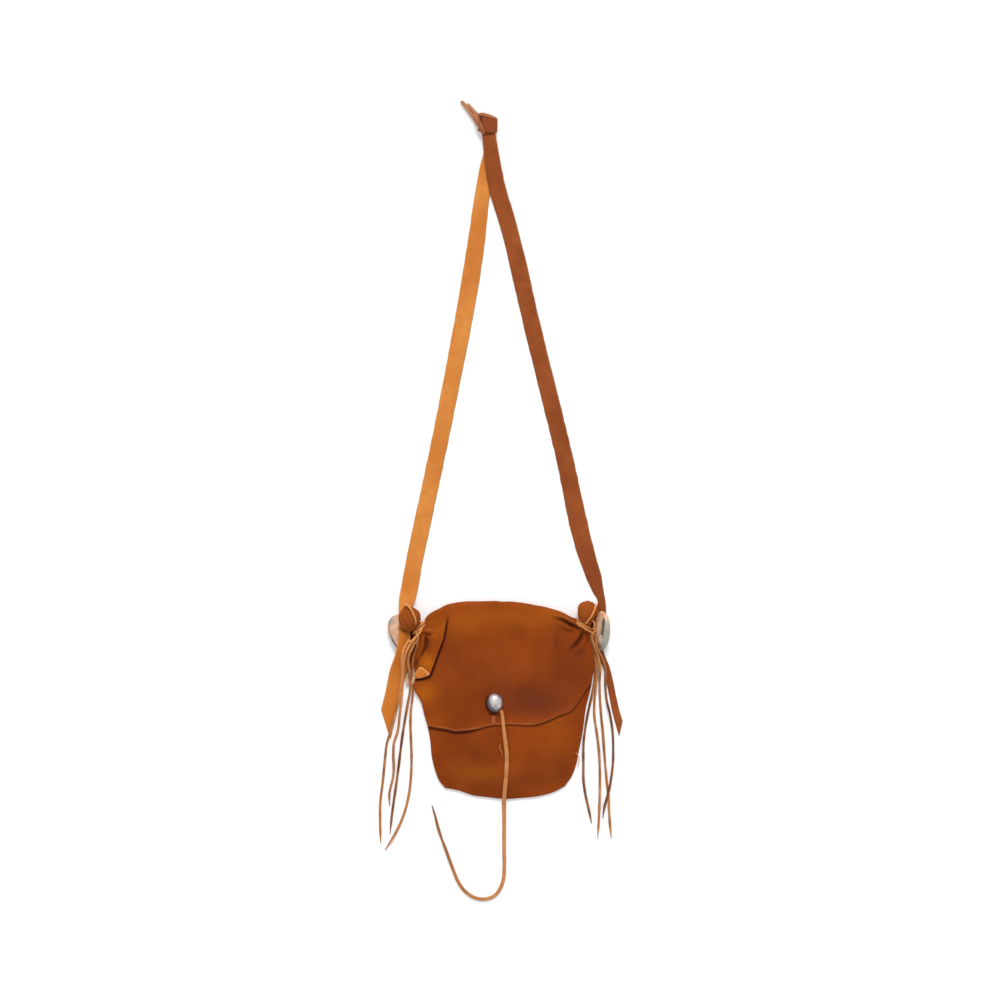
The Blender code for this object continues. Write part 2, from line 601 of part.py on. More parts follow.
def make_strap_left():
    """Strap with its flesh side up: over the shell, up to the knot and out as the lower tail."""
    over = shell_thickness + clearance
    near_tie = ((-43.6, -130, 0), (-38, -103, 0), (-34.6, -87.5, 0), (-29.2, -66, 0.3), (-24.6, -46, 3),
                (-20.5, -33, 7.6), (-18, -21, 11.2), (-17.1, -8, 12.2), (-17, 7, 12.2), (-17, 17, 11.4),
                (-16.4, 24, 9.6), (-14.9, 32, 6.6), (-12, 46, 2), (-6.5, 77, 0), (0.5, 110, 0))
    rise = over / (12.2 * mm)
    route = [(left_tie[0] + x * mm, left_tie[1] + y * mm, z * mm * rise) for x, y, z in near_tie]
    near_knot = ((-46, -315, 0), (-11, -117, 0), (-7, -84, 0), (-1, -46, 0), (2.6, -28, 0.4), (2.4, -14, 1.8),
                 (-1.6, 0, 2.2), (-9.5, 9, 2.2), (-16, 17, 1.5), (-22.5, 24, 0.1))
    route += [(knot_place[0] + x * mm, knot_place[1] + y * mm, z * mm) for x, y, z in near_knot]
    ways = plan_ways(route)
    route = [(x, y, z + strap_leather / 2) for x, y, z in route]
    full = strap_width
    widths = [0.94 * full, 0.94 * full, 0.94 * full, 0.96 * full, full, 0.96 * full, 0.84 * full, 0.72 * full,
              0.7 * full, 0.7 * full, 0.78 * full, 0.94 * full, full, full, full]
    widths += [full, full, 0.92 * full, 0.8 * full, 0.7 * full, 0.6 * full, 0.56 * full, 0.5 * full,
               0.4 * full, 0.12 * full]
    strap = ribbon("strap_left", route, widths, ways, strap_leather, flesh_leather(), 68)
    corner = left_tie + np.array([-43.2, -87.4]) * mm
    tip = left_tie + np.array([-33.2, -119.2]) * mm
    cut_tail(strap, corner, tip, 1)
    return strap


def make_strap_right():
    """Strap with its grain side up: bunched under the shell, over the other strap and round the knot."""
    bunch = 9 * mm
    near_tie = ((47, -130, 0), (42.2, -115, 0), (36.2, -94, 0), (33, -79, 0), (28.6, -62, 0),
                (25, -47, 0), (22.6, -24, 0), (22.6, -4, 0), (24, 11.5, 0), (21.5, 26, 0), (17.5, 37, 0),
                (13, 50, 0), (6, 71, 0), (-22, 192, 0))
    route = [(right_tie[0] + x * mm, right_tie[1] + y * mm, z * mm) for x, y, z in near_tie]
    near_knot = ((50, -226, 0), (21, -105, 0), (10, -68, 2.1), (5.4, -43, 2.3), (3.4, -28, 3.2),
                 (1.6, -14, 4.4), (0, -2, 4.6))
    route += [(knot_place[0] + x * mm, knot_place[1] + y * mm, z * mm) for x, y, z in near_knot]
    ways = plan_ways(route)
    route = [(x, y, z + strap_leather / 2) for x, y, z in route]
    full = strap_width
    widths = [bunch, bunch, 0.88 * bunch, 0.82 * bunch, 0.9 * bunch, bunch, bunch, bunch, bunch, bunch,
              0.75 * full, 0.9 * full, full, full]
    widths += [full, full, full, 0.95 * full, 0.85 * full, 0.75 * full, 0.7 * full]
    strap = ribbon("strap_right", route, widths, ways, strap_leather, dark_strap_leather(), 64)
    corner = right_tie + np.array([43.8, -106.5]) * mm
    tip = right_tie + np.array([40.3, -123]) * mm
    cut_tail(strap, corner, tip, -1)
    half = knot_width / 2
    layer = strap_leather
    top = 4.2 * mm + 1.5 * layer
    loop = ((-0.4 * half, 0, layer / 2), (0.2 * half, 0, layer / 2), (0.75 * half, 0, layer / 2),
            (half, 0, (layer + top) / 2), (0.75 * half, 0.5 * mm, top), (0, 1 * mm, top),
            (-0.75 * half, 2 * mm, top), (-1.35 * half, 6 * mm, top - 0.8 * mm),
            (-2.1 * half, 16 * mm, top - 1.5 * mm), (-3 * half, 26.5 * mm, top - 3.4 * mm))
    wrap = [(knot_place[0] + x, knot_place[1] + y, z) for x, y, z in loop]
    wrap_ways = ((0, 1, 0), (0, 1, 0), (0, 1, 0), (0, 1, 0), (0.05, 1, 0), (0.1, 1, 0), (0.25, 1, 0),
                 (0.6, 0.8, 0), (0.75, 0.7, 0), (0.7, 0.7, 0))
    wrap_widths = [full, full, full, full, full, full, full, 0.85 * full, 0.5 * full, 0.08 * full]
    band = ribbon("wrap", wrap, wrap_widths, wrap_ways, layer, dark_strap_leather(), 36)
    return join_shapes(strap, band)


def cut_tail(strap, corner, tip, keep):
    """Slanting cut across the end of a tail, through its corner and its tip."""
    way = np.append((tip - corner) / np.linalg.norm(tip - corner), 0)
    normal = np.cross(way, (0, 0, 1)) * keep
    work = bmesh.new()
    work.from_mesh(strap.data)
    geometry = work.verts[:] + work.edges[:] + work.faces[:]
    cut = bmesh.ops.bisect_plane(work, geom=geometry, dist=1e-7, plane_co=(*corner, 0), plane_no=normal,
                                 clear_outer=True)
    edges = [item for item in cut["geom_cut"] if isinstance(item, bmesh.types.BMEdge)]
    bmesh.ops.contextual_create(work, geom=edges)
    bmesh.ops.recalc_face_normals(work, faces=work.faces)
    work.to_mesh(strap.data)
    work.free()


def make_button():
    """Domed metal button with a rolled rim, a hollow back and a short shank."""
    profile = ((0.0, 1.0), (0.3, 0.96), (0.58, 0.82), (0.8, 0.58), (0.94, 0.3), (1.0, 0.1), (0.97, 0.0),
               (0.88, 0.0), (0.8, 0.1), (0.4, 0.16))
    sides = 22
    angle = np.linspace(0, 2 * math.pi, sides, endpoint=False)
    seat = seat_height(button_place, button_length / 2)
    rings = []
    for out, up in profile:
        radius = max(out, 0.04)
        rings.append(np.column_stack([button_place[0] + radius * button_width / 2 * np.cos(angle),
                                      button_place[1] + radius * button_length / 2 * np.sin(angle),
                                      np.full(sides, seat + up * button_height)]))
    for up in (0.16 * button_height, 0.0):
        rings.append(np.column_stack([button_place[0] + shank_radius * np.cos(angle),
                                      button_place[1] + shank_radius * np.sin(angle),
                                      np.full(sides, seat + up)]))
    return ring_body("button", np.array(rings), button_metal())


def seat_height(place, reach):
    """Level on which something lies that spans the given reach over the flap."""
    angle = np.linspace(0, 2 * math.pi, 16)
    x = place[0] + reach * np.outer((0, 0.5, 1), np.cos(angle))
    y = place[1] + reach * np.outer((0, 0.5, 1), np.sin(angle))
    return float(flap_top(x, y).max()) + clearance


def make_keeper():
    """Short doubled end of the thong that shows below the button, flat on the flap."""
    y = np.linspace(button_place[1] - button_length / 2 - clearance, button_place[1] - keeper_reach, 5)
    x = button_place[0] - 1.6 * mm + np.array([-0.5, 0.5]) * keeper_width
    plan = np.dstack(np.meshgrid(x, y))
    under = flap_top(plan[..., 0], plan[..., 1]) + clearance
    return two_sided("thong_keeper", lift_points(plan, under + keeper_leather), lift_points(plan, under),
                     dark_strap_leather())


def make_slit_knot():
    """Small knot of lace that closes the slit in the front panel."""
    base = float(pocket_top(*np.array(slit_place))) + 2 * clearance + slit_height / 2
    x, y = slit_place
    half = slit_length / 2
    spine = [(x - 0.6 * mm, y + half, base), (x, y, base), (x + 0.6 * mm, y - half, base)]
    return lobe("slit_knot", spine, (0.2 * slit_width, slit_width / 2, 0.2 * slit_width),
                (0.3 * slit_height, slit_height / 2, 0.3 * slit_height), 3, 0.15, lace_leather(), 7, 10)


def make_cord(name, route, diameter):
    """Round lace on one smooth curve through its route, tapering a little to its free end."""
    route = np.asarray(route, float) * mm
    length = np.linalg.norm(np.diff(route, axis=0), axis=1).sum()
    count = min(80, int(length / (3 * diameter)) + 2)
    points = through(route, np.linspace(0, 1, count))
    points[:, 2] = np.maximum(points[:, 2], diameter / 2)
    data = bpy.data.curves.new(name, "CURVE")
    data.dimensions = "3D"
    data.bevel_depth = diameter / 2
    data.bevel_resolution = 2
    data.use_fill_caps = True
    line = data.splines.new("POLY")
    line.points.add(len(points) - 1)
    for spot, point in zip(line.points, points):
        spot.co = (*point, 1.0)
    data.materials.append(lace_leather())
    made = bpy.data.objects.new(name, data)
    bpy.context.scene.collection.objects.link(made)
    return made


clear_scene()
bag_hide = make_back_and_flap()
make_front_pocket()
make_strap_left()
make_strap_right()
for bag_side in ("left", "right"):
    make_tie(bag_side)
make_ear_laces(bag_hide)
make_shells()
make_button()
make_keeper()
make_slit_knot()
for lace_name, lace_route in fringe_routes.items():
    make_cord(lace_name, lace_route, lace_diameter)
make_cord("closure_thong", thong_route, thong_diameter)
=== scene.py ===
import math

import bmesh
import bpy
import numpy as np
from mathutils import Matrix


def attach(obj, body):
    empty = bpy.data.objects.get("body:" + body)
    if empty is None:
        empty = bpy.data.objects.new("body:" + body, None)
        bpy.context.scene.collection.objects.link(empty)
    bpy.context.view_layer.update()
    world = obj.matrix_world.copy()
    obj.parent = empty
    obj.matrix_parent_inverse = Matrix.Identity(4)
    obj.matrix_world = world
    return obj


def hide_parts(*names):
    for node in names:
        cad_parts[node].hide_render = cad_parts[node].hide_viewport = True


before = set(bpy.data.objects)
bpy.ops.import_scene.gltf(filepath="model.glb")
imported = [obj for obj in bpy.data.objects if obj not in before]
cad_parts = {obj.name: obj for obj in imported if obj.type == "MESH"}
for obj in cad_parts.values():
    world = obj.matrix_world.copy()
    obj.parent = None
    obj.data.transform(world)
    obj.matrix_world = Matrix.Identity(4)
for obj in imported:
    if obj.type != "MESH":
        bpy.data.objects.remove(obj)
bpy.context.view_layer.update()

mm = 0.001
stretch = np.array([197 / 196, 210 / 210.3])  # drawn outlines to the bag's real width and height
leftTie = np.array([-92.5, 77]) * stretch
rightTie = np.array([85, 83.5]) * stretch
knotPlace = leftTie + np.array([74, 556])
tieLevel = 8.5  # middle of the ties above the back
neckRadius = 3.6
print("frame loaded")


def hexToLinear(text):
    # each sRGB channel through the sRGB curve: divided by 12.92 below 0.04045, else a 2.4 power
    values = [int(text[i:i + 2], 16) / 255 for i in (1, 3, 5)]
    return tuple(v / 12.92 if v <= 0.04045 else ((v + 0.055) / 1.055) ** 2.4 for v in values) + (1.0,)


def feed(tree, socket, value):
    if isinstance(value, bpy.types.NodeSocket):
        tree.links.new(value, socket)
    else:
        socket.default_value = value


def addNode(tree, kind, inputs=None, **settings):
    made = tree.nodes.new(kind)
    for key, value in settings.items():
        setattr(made, key, value)
    for key, value in (inputs or {}).items():
        feed(tree, made.inputs[key], value)
    return made


def newObject(name, data):
    made = bpy.data.objects.new(name, data)
    bpy.context.scene.collection.objects.link(made)
    return made


def ease(x):
    # 3x^2 - 2x^3, with x held between 0 and 1
    x = np.clip(x, 0, 1)
    return x * x * (3 - 2 * x)


def smoothValue(places, values, wanted, level=False):
    # cubic Hermite curve through the pairs with centred slopes; a level one never passes a high or a low
    order = np.argsort(places)
    x = np.asarray(places, float)[order]
    y = np.asarray(values, float)[order]
    slope = np.gradient(y, x)
    if level:
        rate = np.diff(y) / np.diff(x)
        before = np.append(rate[:1], rate)
        after = np.append(rate, rate[-1:])
        limit = 2 * np.minimum(np.abs(before), np.abs(after))
        slope = np.where(before * after > 0, np.clip(slope, -limit, limit), 0)
    w = np.clip(wanted, x[0], x[-1])
    i = np.clip(np.searchsorted(x, w) - 1, 0, len(x) - 2)
    step = x[i + 1] - x[i]
    t = (w - x[i]) / step
    rise = y[i] * (1 + 2 * t) * (1 - t) ** 2 + y[i + 1] * t * t * (3 - 2 * t)
    return rise + step * (slope[i] * t * (1 - t) ** 2 - slope[i + 1] * t * t * (1 - t))


def chordLengths(points):
    steps = np.linalg.norm(np.diff(np.asarray(points, float), axis=0), axis=1)
    return np.concatenate([[0], np.cumsum(steps)])


def chordShares(points):
    chord = chordLengths(points)
    return chord / chord[-1]


def through(points, shares):
    # one smooth curve through the points, read at shares of its chord length
    chord = chordLengths(points)
    wanted = np.asarray(shares) * chord[-1]
    return np.column_stack([smoothValue(chord, column, wanted, axis == 2)
                            for axis, column in enumerate(np.asarray(points, float).T)])


def pathLength(points):
    return float(np.linalg.norm(np.diff(np.asarray(points), axis=0), axis=1).sum())


def placed(spot, steps, rise=0):
    # steps measured from a spot, as places in the bag's frame
    return [(spot[0] + x, spot[1] + y, z + rise) for x, y, z in steps]


def patch(bottom, top, left, right, along, up):
    # surface between four edge curves: the two ruled surfaces added, less the one through their corners
    low = through(bottom, along)[None, :, :]
    high = through(top, along)[None, :, :]
    west = through(left, up)[:, None, :]
    east = through(right, up)[:, None, :]
    u = np.asarray(along)[None, :, None]
    v = np.asarray(up)[:, None, None]
    corners = ((1 - u) * (1 - v) * low[:, :1] + u * (1 - v) * low[:, -1:]
               + (1 - u) * v * high[:, :1] + u * v * high[:, -1:])
    return (1 - v) * low + v * high + (1 - u) * west + u * east - corners


def denseSteps(count, share=0.55):
    # steps from 0 to 1 that crowd towards both ends: part even, part half a cosine
    even = np.linspace(0, 1, count)
    return (1 - share) * even + share * 0.5 * (1 - np.cos(math.pi * even))


def softField(x, y, size, seed):
    # random heights from -1 to 1 on a square lattice of that size, blended by an eased bilinear rule
    cells = 97
    lattice = np.random.default_rng(seed).uniform(-1, 1, (cells, cells))
    u = np.asarray(x) / size + 48.3
    v = np.asarray(y) / size + 48.7
    i = np.floor(u).astype(int)
    j = np.floor(v).astype(int)
    a = ease(u - i)
    b = ease(v - j)
    i0, i1, j0, j1 = i % cells, (i + 1) % cells, j % cells, (j + 1) % cells
    return ((1 - a) * (1 - b) * lattice[i0, j0] + a * (1 - b) * lattice[i1, j0]
            + (1 - a) * b * lattice[i0, j1] + a * b * lattice[i1, j1])


def swells(x, y, waves):
    # soft fields added up, each a height, a lattice size and a seed
    return sum(height * softField(x, y, size, seed) for height, size, seed in waves)


def bell(x, y, middle, widths, turn=0.0):
    # Gaussian spot, turned by an angle
    dx = x - middle[0]
    dy = y - middle[1]
    a = dx * math.cos(turn) + dy * math.sin(turn)
    b = dy * math.cos(turn) - dx * math.sin(turn)
    return np.exp(-(a / widths[0]) ** 2 - (b / widths[1]) ** 2)


def spots(x, y, table):
    # Gaussian spots added up, each a value, a middle, two widths and perhaps a turn
    return sum(value * bell(x, y, *spot) for value, *spot in table)


def distanceTo(path, x, y):
    # distance of each place from the nearest segment of a path, the share along it, and its side
    path = np.asarray(path, float)
    lengths = np.linalg.norm(np.diff(path, axis=0), axis=1)
    starts = np.concatenate([[0], np.cumsum(lengths)])
    best = np.full(np.shape(x), 1e9)
    share = np.zeros(np.shape(x))
    side = np.zeros(np.shape(x))
    for k, (a, b) in enumerate(zip(path[:-1], path[1:])):
        way = (b - a) / lengths[k]
        t = np.clip((x - a[0]) * way[0] + (y - a[1]) * way[1], 0, lengths[k])
        dx = x - a[0] - t * way[0]
        dy = y - a[1] - t * way[1]
        away = np.hypot(dx, dy)
        nearer = away < best
        best = np.where(nearer, away, best)
        share = np.where(nearer, (starts[k] + t) / starts[-1], share)
        side = np.where(nearer, np.sign(way[0] * dy - way[1] * dx), side)
    return best, share, side


def meshFrom(name, vertices, quads, material, triangles=(), attributes=None):
    # points in millimetres become one smooth-shaded mesh in metres, riding on the root
    triangles = np.asarray(triangles, dtype=np.int32).reshape(-1, 3)
    quads = np.asarray(quads, dtype=np.int32)
    mesh = bpy.data.meshes.new(name)
    mesh.vertices.add(len(vertices))
    mesh.vertices.foreach_set("co", (np.asarray(vertices, np.float64) * mm).astype(np.float32).ravel())
    corners = np.concatenate([quads.ravel(), triangles.ravel()])
    mesh.loops.add(len(corners))
    mesh.loops.foreach_set("vertex_index", corners)
    totals = np.concatenate([np.full(len(quads), 4), np.full(len(triangles), 3)]).astype(np.int32)
    starts = np.concatenate([[0], np.cumsum(totals)[:-1]]).astype(np.int32)
    mesh.polygons.add(len(totals))
    mesh.polygons.foreach_set("loop_start", starts)
    mesh.polygons.foreach_set("loop_total", totals)
    mesh.update(calc_edges=True)
    for key, values in (attributes or {}).items():
        layer = mesh.attributes.new(key, "FLOAT", "POINT")
        layer.data.foreach_set("value", np.asarray(values, np.float32).ravel())
    work = bmesh.new()
    work.from_mesh(mesh)
    bmesh.ops.recalc_face_normals(work, faces=work.faces)
    work.to_mesh(mesh)
    work.free()
    mesh.shade_smooth()
    mesh.materials.append(material)
    made = newObject(name, mesh)
    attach(made, "root")
    return made


def gridQuads(rows, columns, wrap=False):
    # quads of a grid of numbered points; a wrapped grid joins its last column to its first
    number = np.arange(rows * columns).reshape(rows, columns)
    if wrap:
        number = np.concatenate([number, number[:, :1]], axis=1)
    return np.stack([number[:-1, :-1], number[:-1, 1:], number[1:, 1:], number[1:, :-1]],
                    axis=-1).reshape(-1, 4)


def sheetBody(name, outer, inner, material, attributes=None):
    # closed sheet between two grids of the same shape, with a wall of quads round the rim
    rows, columns = outer.shape[:2]
    shift = rows * columns
    number = np.arange(shift).reshape(rows, columns)
    faces = gridQuads(rows, columns)
    rim = np.concatenate([number[0], number[1:, -1], number[-1, -2::-1], number[-2:0:-1, 0]])
    following = np.roll(rim, -1)
    wall = np.stack([following, rim, rim + shift, following + shift], axis=1)
    quads = np.concatenate([faces, faces[:, ::-1] + shift, wall])
    both = {key: np.tile(values.ravel(), 2) for key, values in (attributes or {}).items()}
    points = np.concatenate([outer.reshape(-1, 3), inner.reshape(-1, 3)])
    return meshFrom(name, points, quads, material, attributes=both)


def laidSheet(name, plan, level, thickness, material, attributes):
    # sheet of one thickness, from its plan and the heights of its upper side
    inner = np.dstack([plan, level - thickness])
    return sheetBody(name, np.dstack([plan, level]), inner, material, attributes)


def ringBody(name, rings, material, attributes=None):
    # closed body through rings of points, each end closed by a fan to its middle
    count, sides = rings.shape[:2]
    points = np.concatenate([rings.reshape(-1, 3), [rings[0].mean(axis=0), rings[-1].mean(axis=0)]])
    ring = np.arange(sides)
    following = np.roll(ring, -1)
    last = (count - 1) * sides
    first, final = np.full((2, sides), count * sides) + [[0], [1]]
    fans = np.concatenate([np.stack([following, ring, first], axis=1),
                           np.stack([ring + last, following + last, final], axis=1)])
    ends = {key: np.concatenate([values.ravel(), values[0, :1], values[-1, :1]])
            for key, values in (attributes or {}).items()}
    return meshFrom(name, points, gridQuads(count, sides, True), material, fans, ends)


def frameAlong(centres, reference=(0.02, 0.01, 1.0)):
    # two unit ways square to a path: a side that is square to the reference too, and one square to both
    tangent = np.gradient(centres, axis=0)
    tangent /= np.linalg.norm(tangent, axis=1)[:, None]
    side = np.cross(tangent, reference)
    side /= np.linalg.norm(side, axis=1)[:, None]
    return side, np.cross(side, tangent)


def ringsOn(centres, across, side, lift, upward):
    # rings of points round a path, from their distances along its two ways
    return centres[:, None, :] + across[:, :, None] * side[:, None, :] + lift[:, :, None] * upward[:, None, :]


def ovalRings(centres, angle, power, half, thick, turn):
    # a rounded rectangle on each centre, turned about the path; a power below one squares the oval
    side, upward = frameAlong(centres)
    a = half[:, None] * (np.sign(np.cos(angle)) * np.abs(np.cos(angle)) ** power)[None, :]
    b = thick[:, None] * (np.sign(np.sin(angle)) * np.abs(np.sin(angle)) ** power)[None, :]
    u = a * np.cos(turn)[:, None] - b * np.sin(turn)[:, None]
    v = a * np.sin(turn)[:, None] + b * np.cos(turn)[:, None]
    rings = ringsOn(centres, u, side, v, upward)
    rings[..., 2] = np.maximum(rings[..., 2], 0.05)
    return rings


def mixColors(tree, factor, first, second, blend="MIX"):
    made = addNode(tree, "ShaderNodeMix", data_type="RGBA", blend_type=blend)
    for name, value in (("Factor", factor), ("A", first), ("B", second)):
        feed(tree, next(s for s in made.inputs if s.name == name and s.enabled), value)
    return next(s for s in made.outputs if s.enabled)


def rangeOf(tree, value, low, high, start=0.0, end=1.0):
    return addNode(tree, "ShaderNodeMapRange", {"Value": value, "From Min": low, "From Max": high,
                                                "To Min": start, "To Max": end}).outputs["Result"]


def math2(tree, operation, first, second):
    made = addNode(tree, "ShaderNodeMath", operation=operation)
    feed(tree, made.inputs[0], first)
    feed(tree, made.inputs[1], second)
    return made.outputs[0]


def newMaterial(name):
    material = bpy.data.materials.new(name)
    material.use_nodes = True
    return material, material.node_tree, material.node_tree.nodes["Principled BSDF"]


def noiseOf(tree, scale, detail, roughness=0.5):
    place = addNode(tree, "ShaderNodeTexCoord").outputs["Object"]
    return addNode(tree, "ShaderNodeTexNoise", {"Vector": place, "Scale": scale, "Detail": detail,
                                                "Roughness": roughness}).outputs["Fac"]


def finishMaterial(tree, shader, color, zones, settings, height, distance, strength):
    # each zone's attribute blends its own tone over the colour; the height makes a bump in millimetres
    for key, tone in zones:
        zone = addNode(tree, "ShaderNodeAttribute", attribute_name=key).outputs["Fac"]
        color = mixColors(tree, zone, color, hexToLinear(tone))
    tree.links.new(color, shader.inputs["Base Color"])
    for key, value in settings.items():
        feed(tree, shader.inputs[key], value)
    bump = addNode(tree, "ShaderNodeBump", {"Height": height, "Distance": distance * mm,
                                            "Strength": strength})
    tree.links.new(bump.outputs["Normal"], shader.inputs["Normal"])


def makeLeather(name, looks):
    # clouds of dye, finer mottling and short nap mixed over two tones, with the zones on top
    material, tree, shader = newMaterial(name)
    cloud = noiseOf(tree, 1000 / looks["cloudSize"], 3.0, 0.55)
    mottle = noiseOf(tree, 1000 / looks["mottleSize"], 4.0, 0.6)
    nap = noiseOf(tree, 1000 / looks["napSize"], 2.0, 0.6)
    light = hexToLinear(looks["light"])
    color = mixColors(tree, rangeOf(tree, cloud, 0.36, 0.64), hexToLinear(looks["dark"]), light)
    marks = rangeOf(tree, mottle, 0.5, 0.72, 0.0, looks["markShare"])
    color = mixColors(tree, marks, color, hexToLinear(looks["mark"]))
    bright = rangeOf(tree, nap, 0.3, 0.7, 1 - looks["napShare"], 1 + looks["napShare"])
    lit = addNode(tree, "ShaderNodeCombineColor", {"Red": bright, "Green": bright, "Blue": bright})
    color = mixColors(tree, 1.0, color, lit.outputs["Color"], "MULTIPLY")
    height = math2(tree, "ADD", math2(tree, "MULTIPLY", nap, 0.6), mottle)
    settings = {"Roughness": looks["roughness"], "IOR": 1.5, "Specular IOR Level": looks["gloss"],
                "Sheen Weight": looks["sheen"], "Sheen Roughness": 0.55, "Sheen Tint": light}
    finishMaterial(tree, shader, color, looks["zones"], settings, height, looks["bump"], 0.8)
    return material


# soft smoke-tanned deerskin: matt brown suede with orange and dark clouds about 3 cm across
hideLooks = {"dark": "#7f3508", "light": "#94420f", "mark": "#6f2c0c", "markShare": 0.35, "cloudSize": 40,
             "mottleSize": 10, "napSize": 1.1, "napShare": 0.1, "roughness": 0.9, "gloss": 0.12, "sheen": 0.05,
             # zones: a darker tone that is partly painted shade, an orange tone, a paler rim that is partly
             # painted highlight, and painted shade in folds
             "bump": 0.5, "zones": (("darkToneAndShadeZone", "#6c2f16"), ("warmZone", "#b4600f"), ("rim", "#b56d3c"),
                                    ("foldShade", "#3f1206"))}
# flesh side of the strap: paler, orange-tan, with a fine even nap
tanLooks = {"dark": "#cc7a34", "light": "#dd8f45", "mark": "#b9652a", "markShare": 0.35, "cloudSize": 60,
            "mottleSize": 9, "napSize": 0.9, "napShare": 0.08, "roughness": 0.9, "gloss": 0.2, "sheen": 0.15,
            # zones: a darker tone that is partly painted shade, paler edges that are partly painted highlight,
            # a paler tail, and painted shade in folds
            "bump": 0.3, "zones": (("darkToneAndShadeZone", "#c06a1e"), ("rim", "#e3a767"), ("tailZone", "#b8805e"),
                                   ("foldShade", "#5a2408"))}
# grain side of the strap: red-brown and a little smoother
grainLooks = {"dark": "#8c4419", "light": "#a45623", "mark": "#743619", "markShare": 0.4, "cloudSize": 40,
              "mottleSize": 6, "napSize": 0.8, "napShare": 0.07, "roughness": 0.75, "gloss": 0.18,
              # zones: a darker tone that is partly painted shade, paler edges that are partly painted
              # highlight, a paler tail, and painted shade in folds
              "sheen": 0.03, "bump": 0.25, "zones": (("darkToneAndShadeZone", "#7c3a1c"), ("rim", "#b9713f"),
                                                     ("tailZone", "#b8805e"), ("foldShade", "#4a1708"))}
# cut lace: its two faces differ, so it runs from orange-tan to dark brown along its length
laceLooks = {"dark": "#be7840", "light": "#cd8c55", "mark": "#9c5a28", "markShare": 0.4, "cloudSize": 15,
             "mottleSize": 4, "napSize": 0.7, "napShare": 0.1, "roughness": 0.8, "gloss": 0.3, "sheen": 0.08,
             "bump": 0.25, "zones": (("shade", "#63331c"), ("lightZone", "#e0924e"))}
# flesh side of the lapel's curled tip: pale, greyish pink
fleshLooks = {"dark": "#c9a17c", "light": "#e0bd9b", "mark": "#9b7a58", "markShare": 0.5, "cloudSize": 9,
              "mottleSize": 4, "napSize": 0.8, "napShare": 0.08, "roughness": 0.9, "gloss": 0.2, "sheen": 0.15,
              # zones: a greyer tone that is partly painted shade, and a paler rim
              "bump": 0.3, "zones": (("darkToneAndShadeZone", "#8b7a62"), ("rim", "#c98d4f"))}
deerskin = makeLeather("brownDeerskin", hideLooks)
fleshSide = makeLeather("tanFleshSide", tanLooks)
grainSide = makeLeather("redBrownGrainSide", grainLooks)
cutLace = makeLeather("cutLace", laceLooks)
paleFlesh = makeLeather("paleFleshTip", fleshLooks)


def makeShellMaterial():
    # polished sea shell: cream and pink bands that turn grey-green on the back, under a clear hard gloss
    material, tree, shader = newMaterial("polishedShell")
    cloud = noiseOf(tree, 120.0, 3.0)
    color = mixColors(tree, rangeOf(tree, cloud, 0.4, 0.6), hexToLinear("#c9956f"), hexToLinear("#dfb591"))
    zones = (("backShare", "#8f978c"), ("edgeShade", "#65423a"), ("slotShade", "#463a32"))
    settings = {"Roughness": 0.32, "IOR": 1.55, "Coat Weight": 0.3, "Coat Roughness": 0.12}
    finishMaterial(tree, shader, color, zones, settings, cloud, 0.2, 0.5)
    return material


def makeButtonMetal():
    # worn nickel silver: grey-white metal, brighter where it is rubbed, with fine scratches
    material, tree, shader = newMaterial("wornNickelSilver")
    tarnish = noiseOf(tree, 260.0, 4.0)
    color = mixColors(tree, rangeOf(tree, tarnish, 0.35, 0.75), hexToLinear("#d5cecb"), hexToLinear("#aaa3a4"))
    settings = {"Metallic": 1.0, "Roughness": rangeOf(tree, tarnish, 0.3, 0.7, 0.2, 0.42)}
    # this zone darkens the dome's left and lower side as a painted dark reflection
    finishMaterial(tree, shader, color, (("paintedDarkReflection", "#5f5a5e"),), settings, tarnish, 0.08, 0.3)
    return material


shellGloss = makeShellMaterial()
nickelSilver = makeButtonMetal()
print("materials ready")

cameraSetup = {"distance": 2.6, "width": 1.1, "sensor": 36, "middle": (-5.5, 220.0)}  # metres, then mm


def makeCamera():
    data = bpy.data.cameras.new("camera")
    data.sensor_width = cameraSetup["sensor"]
    data.lens = cameraSetup["sensor"] * cameraSetup["distance"] / cameraSetup["width"]
    made = newObject("camera", data)
    x, y = cameraSetup["middle"]
    made.location = (x * mm, y * mm, cameraSetup["distance"])
    bpy.context.scene.camera = made


makeCamera()

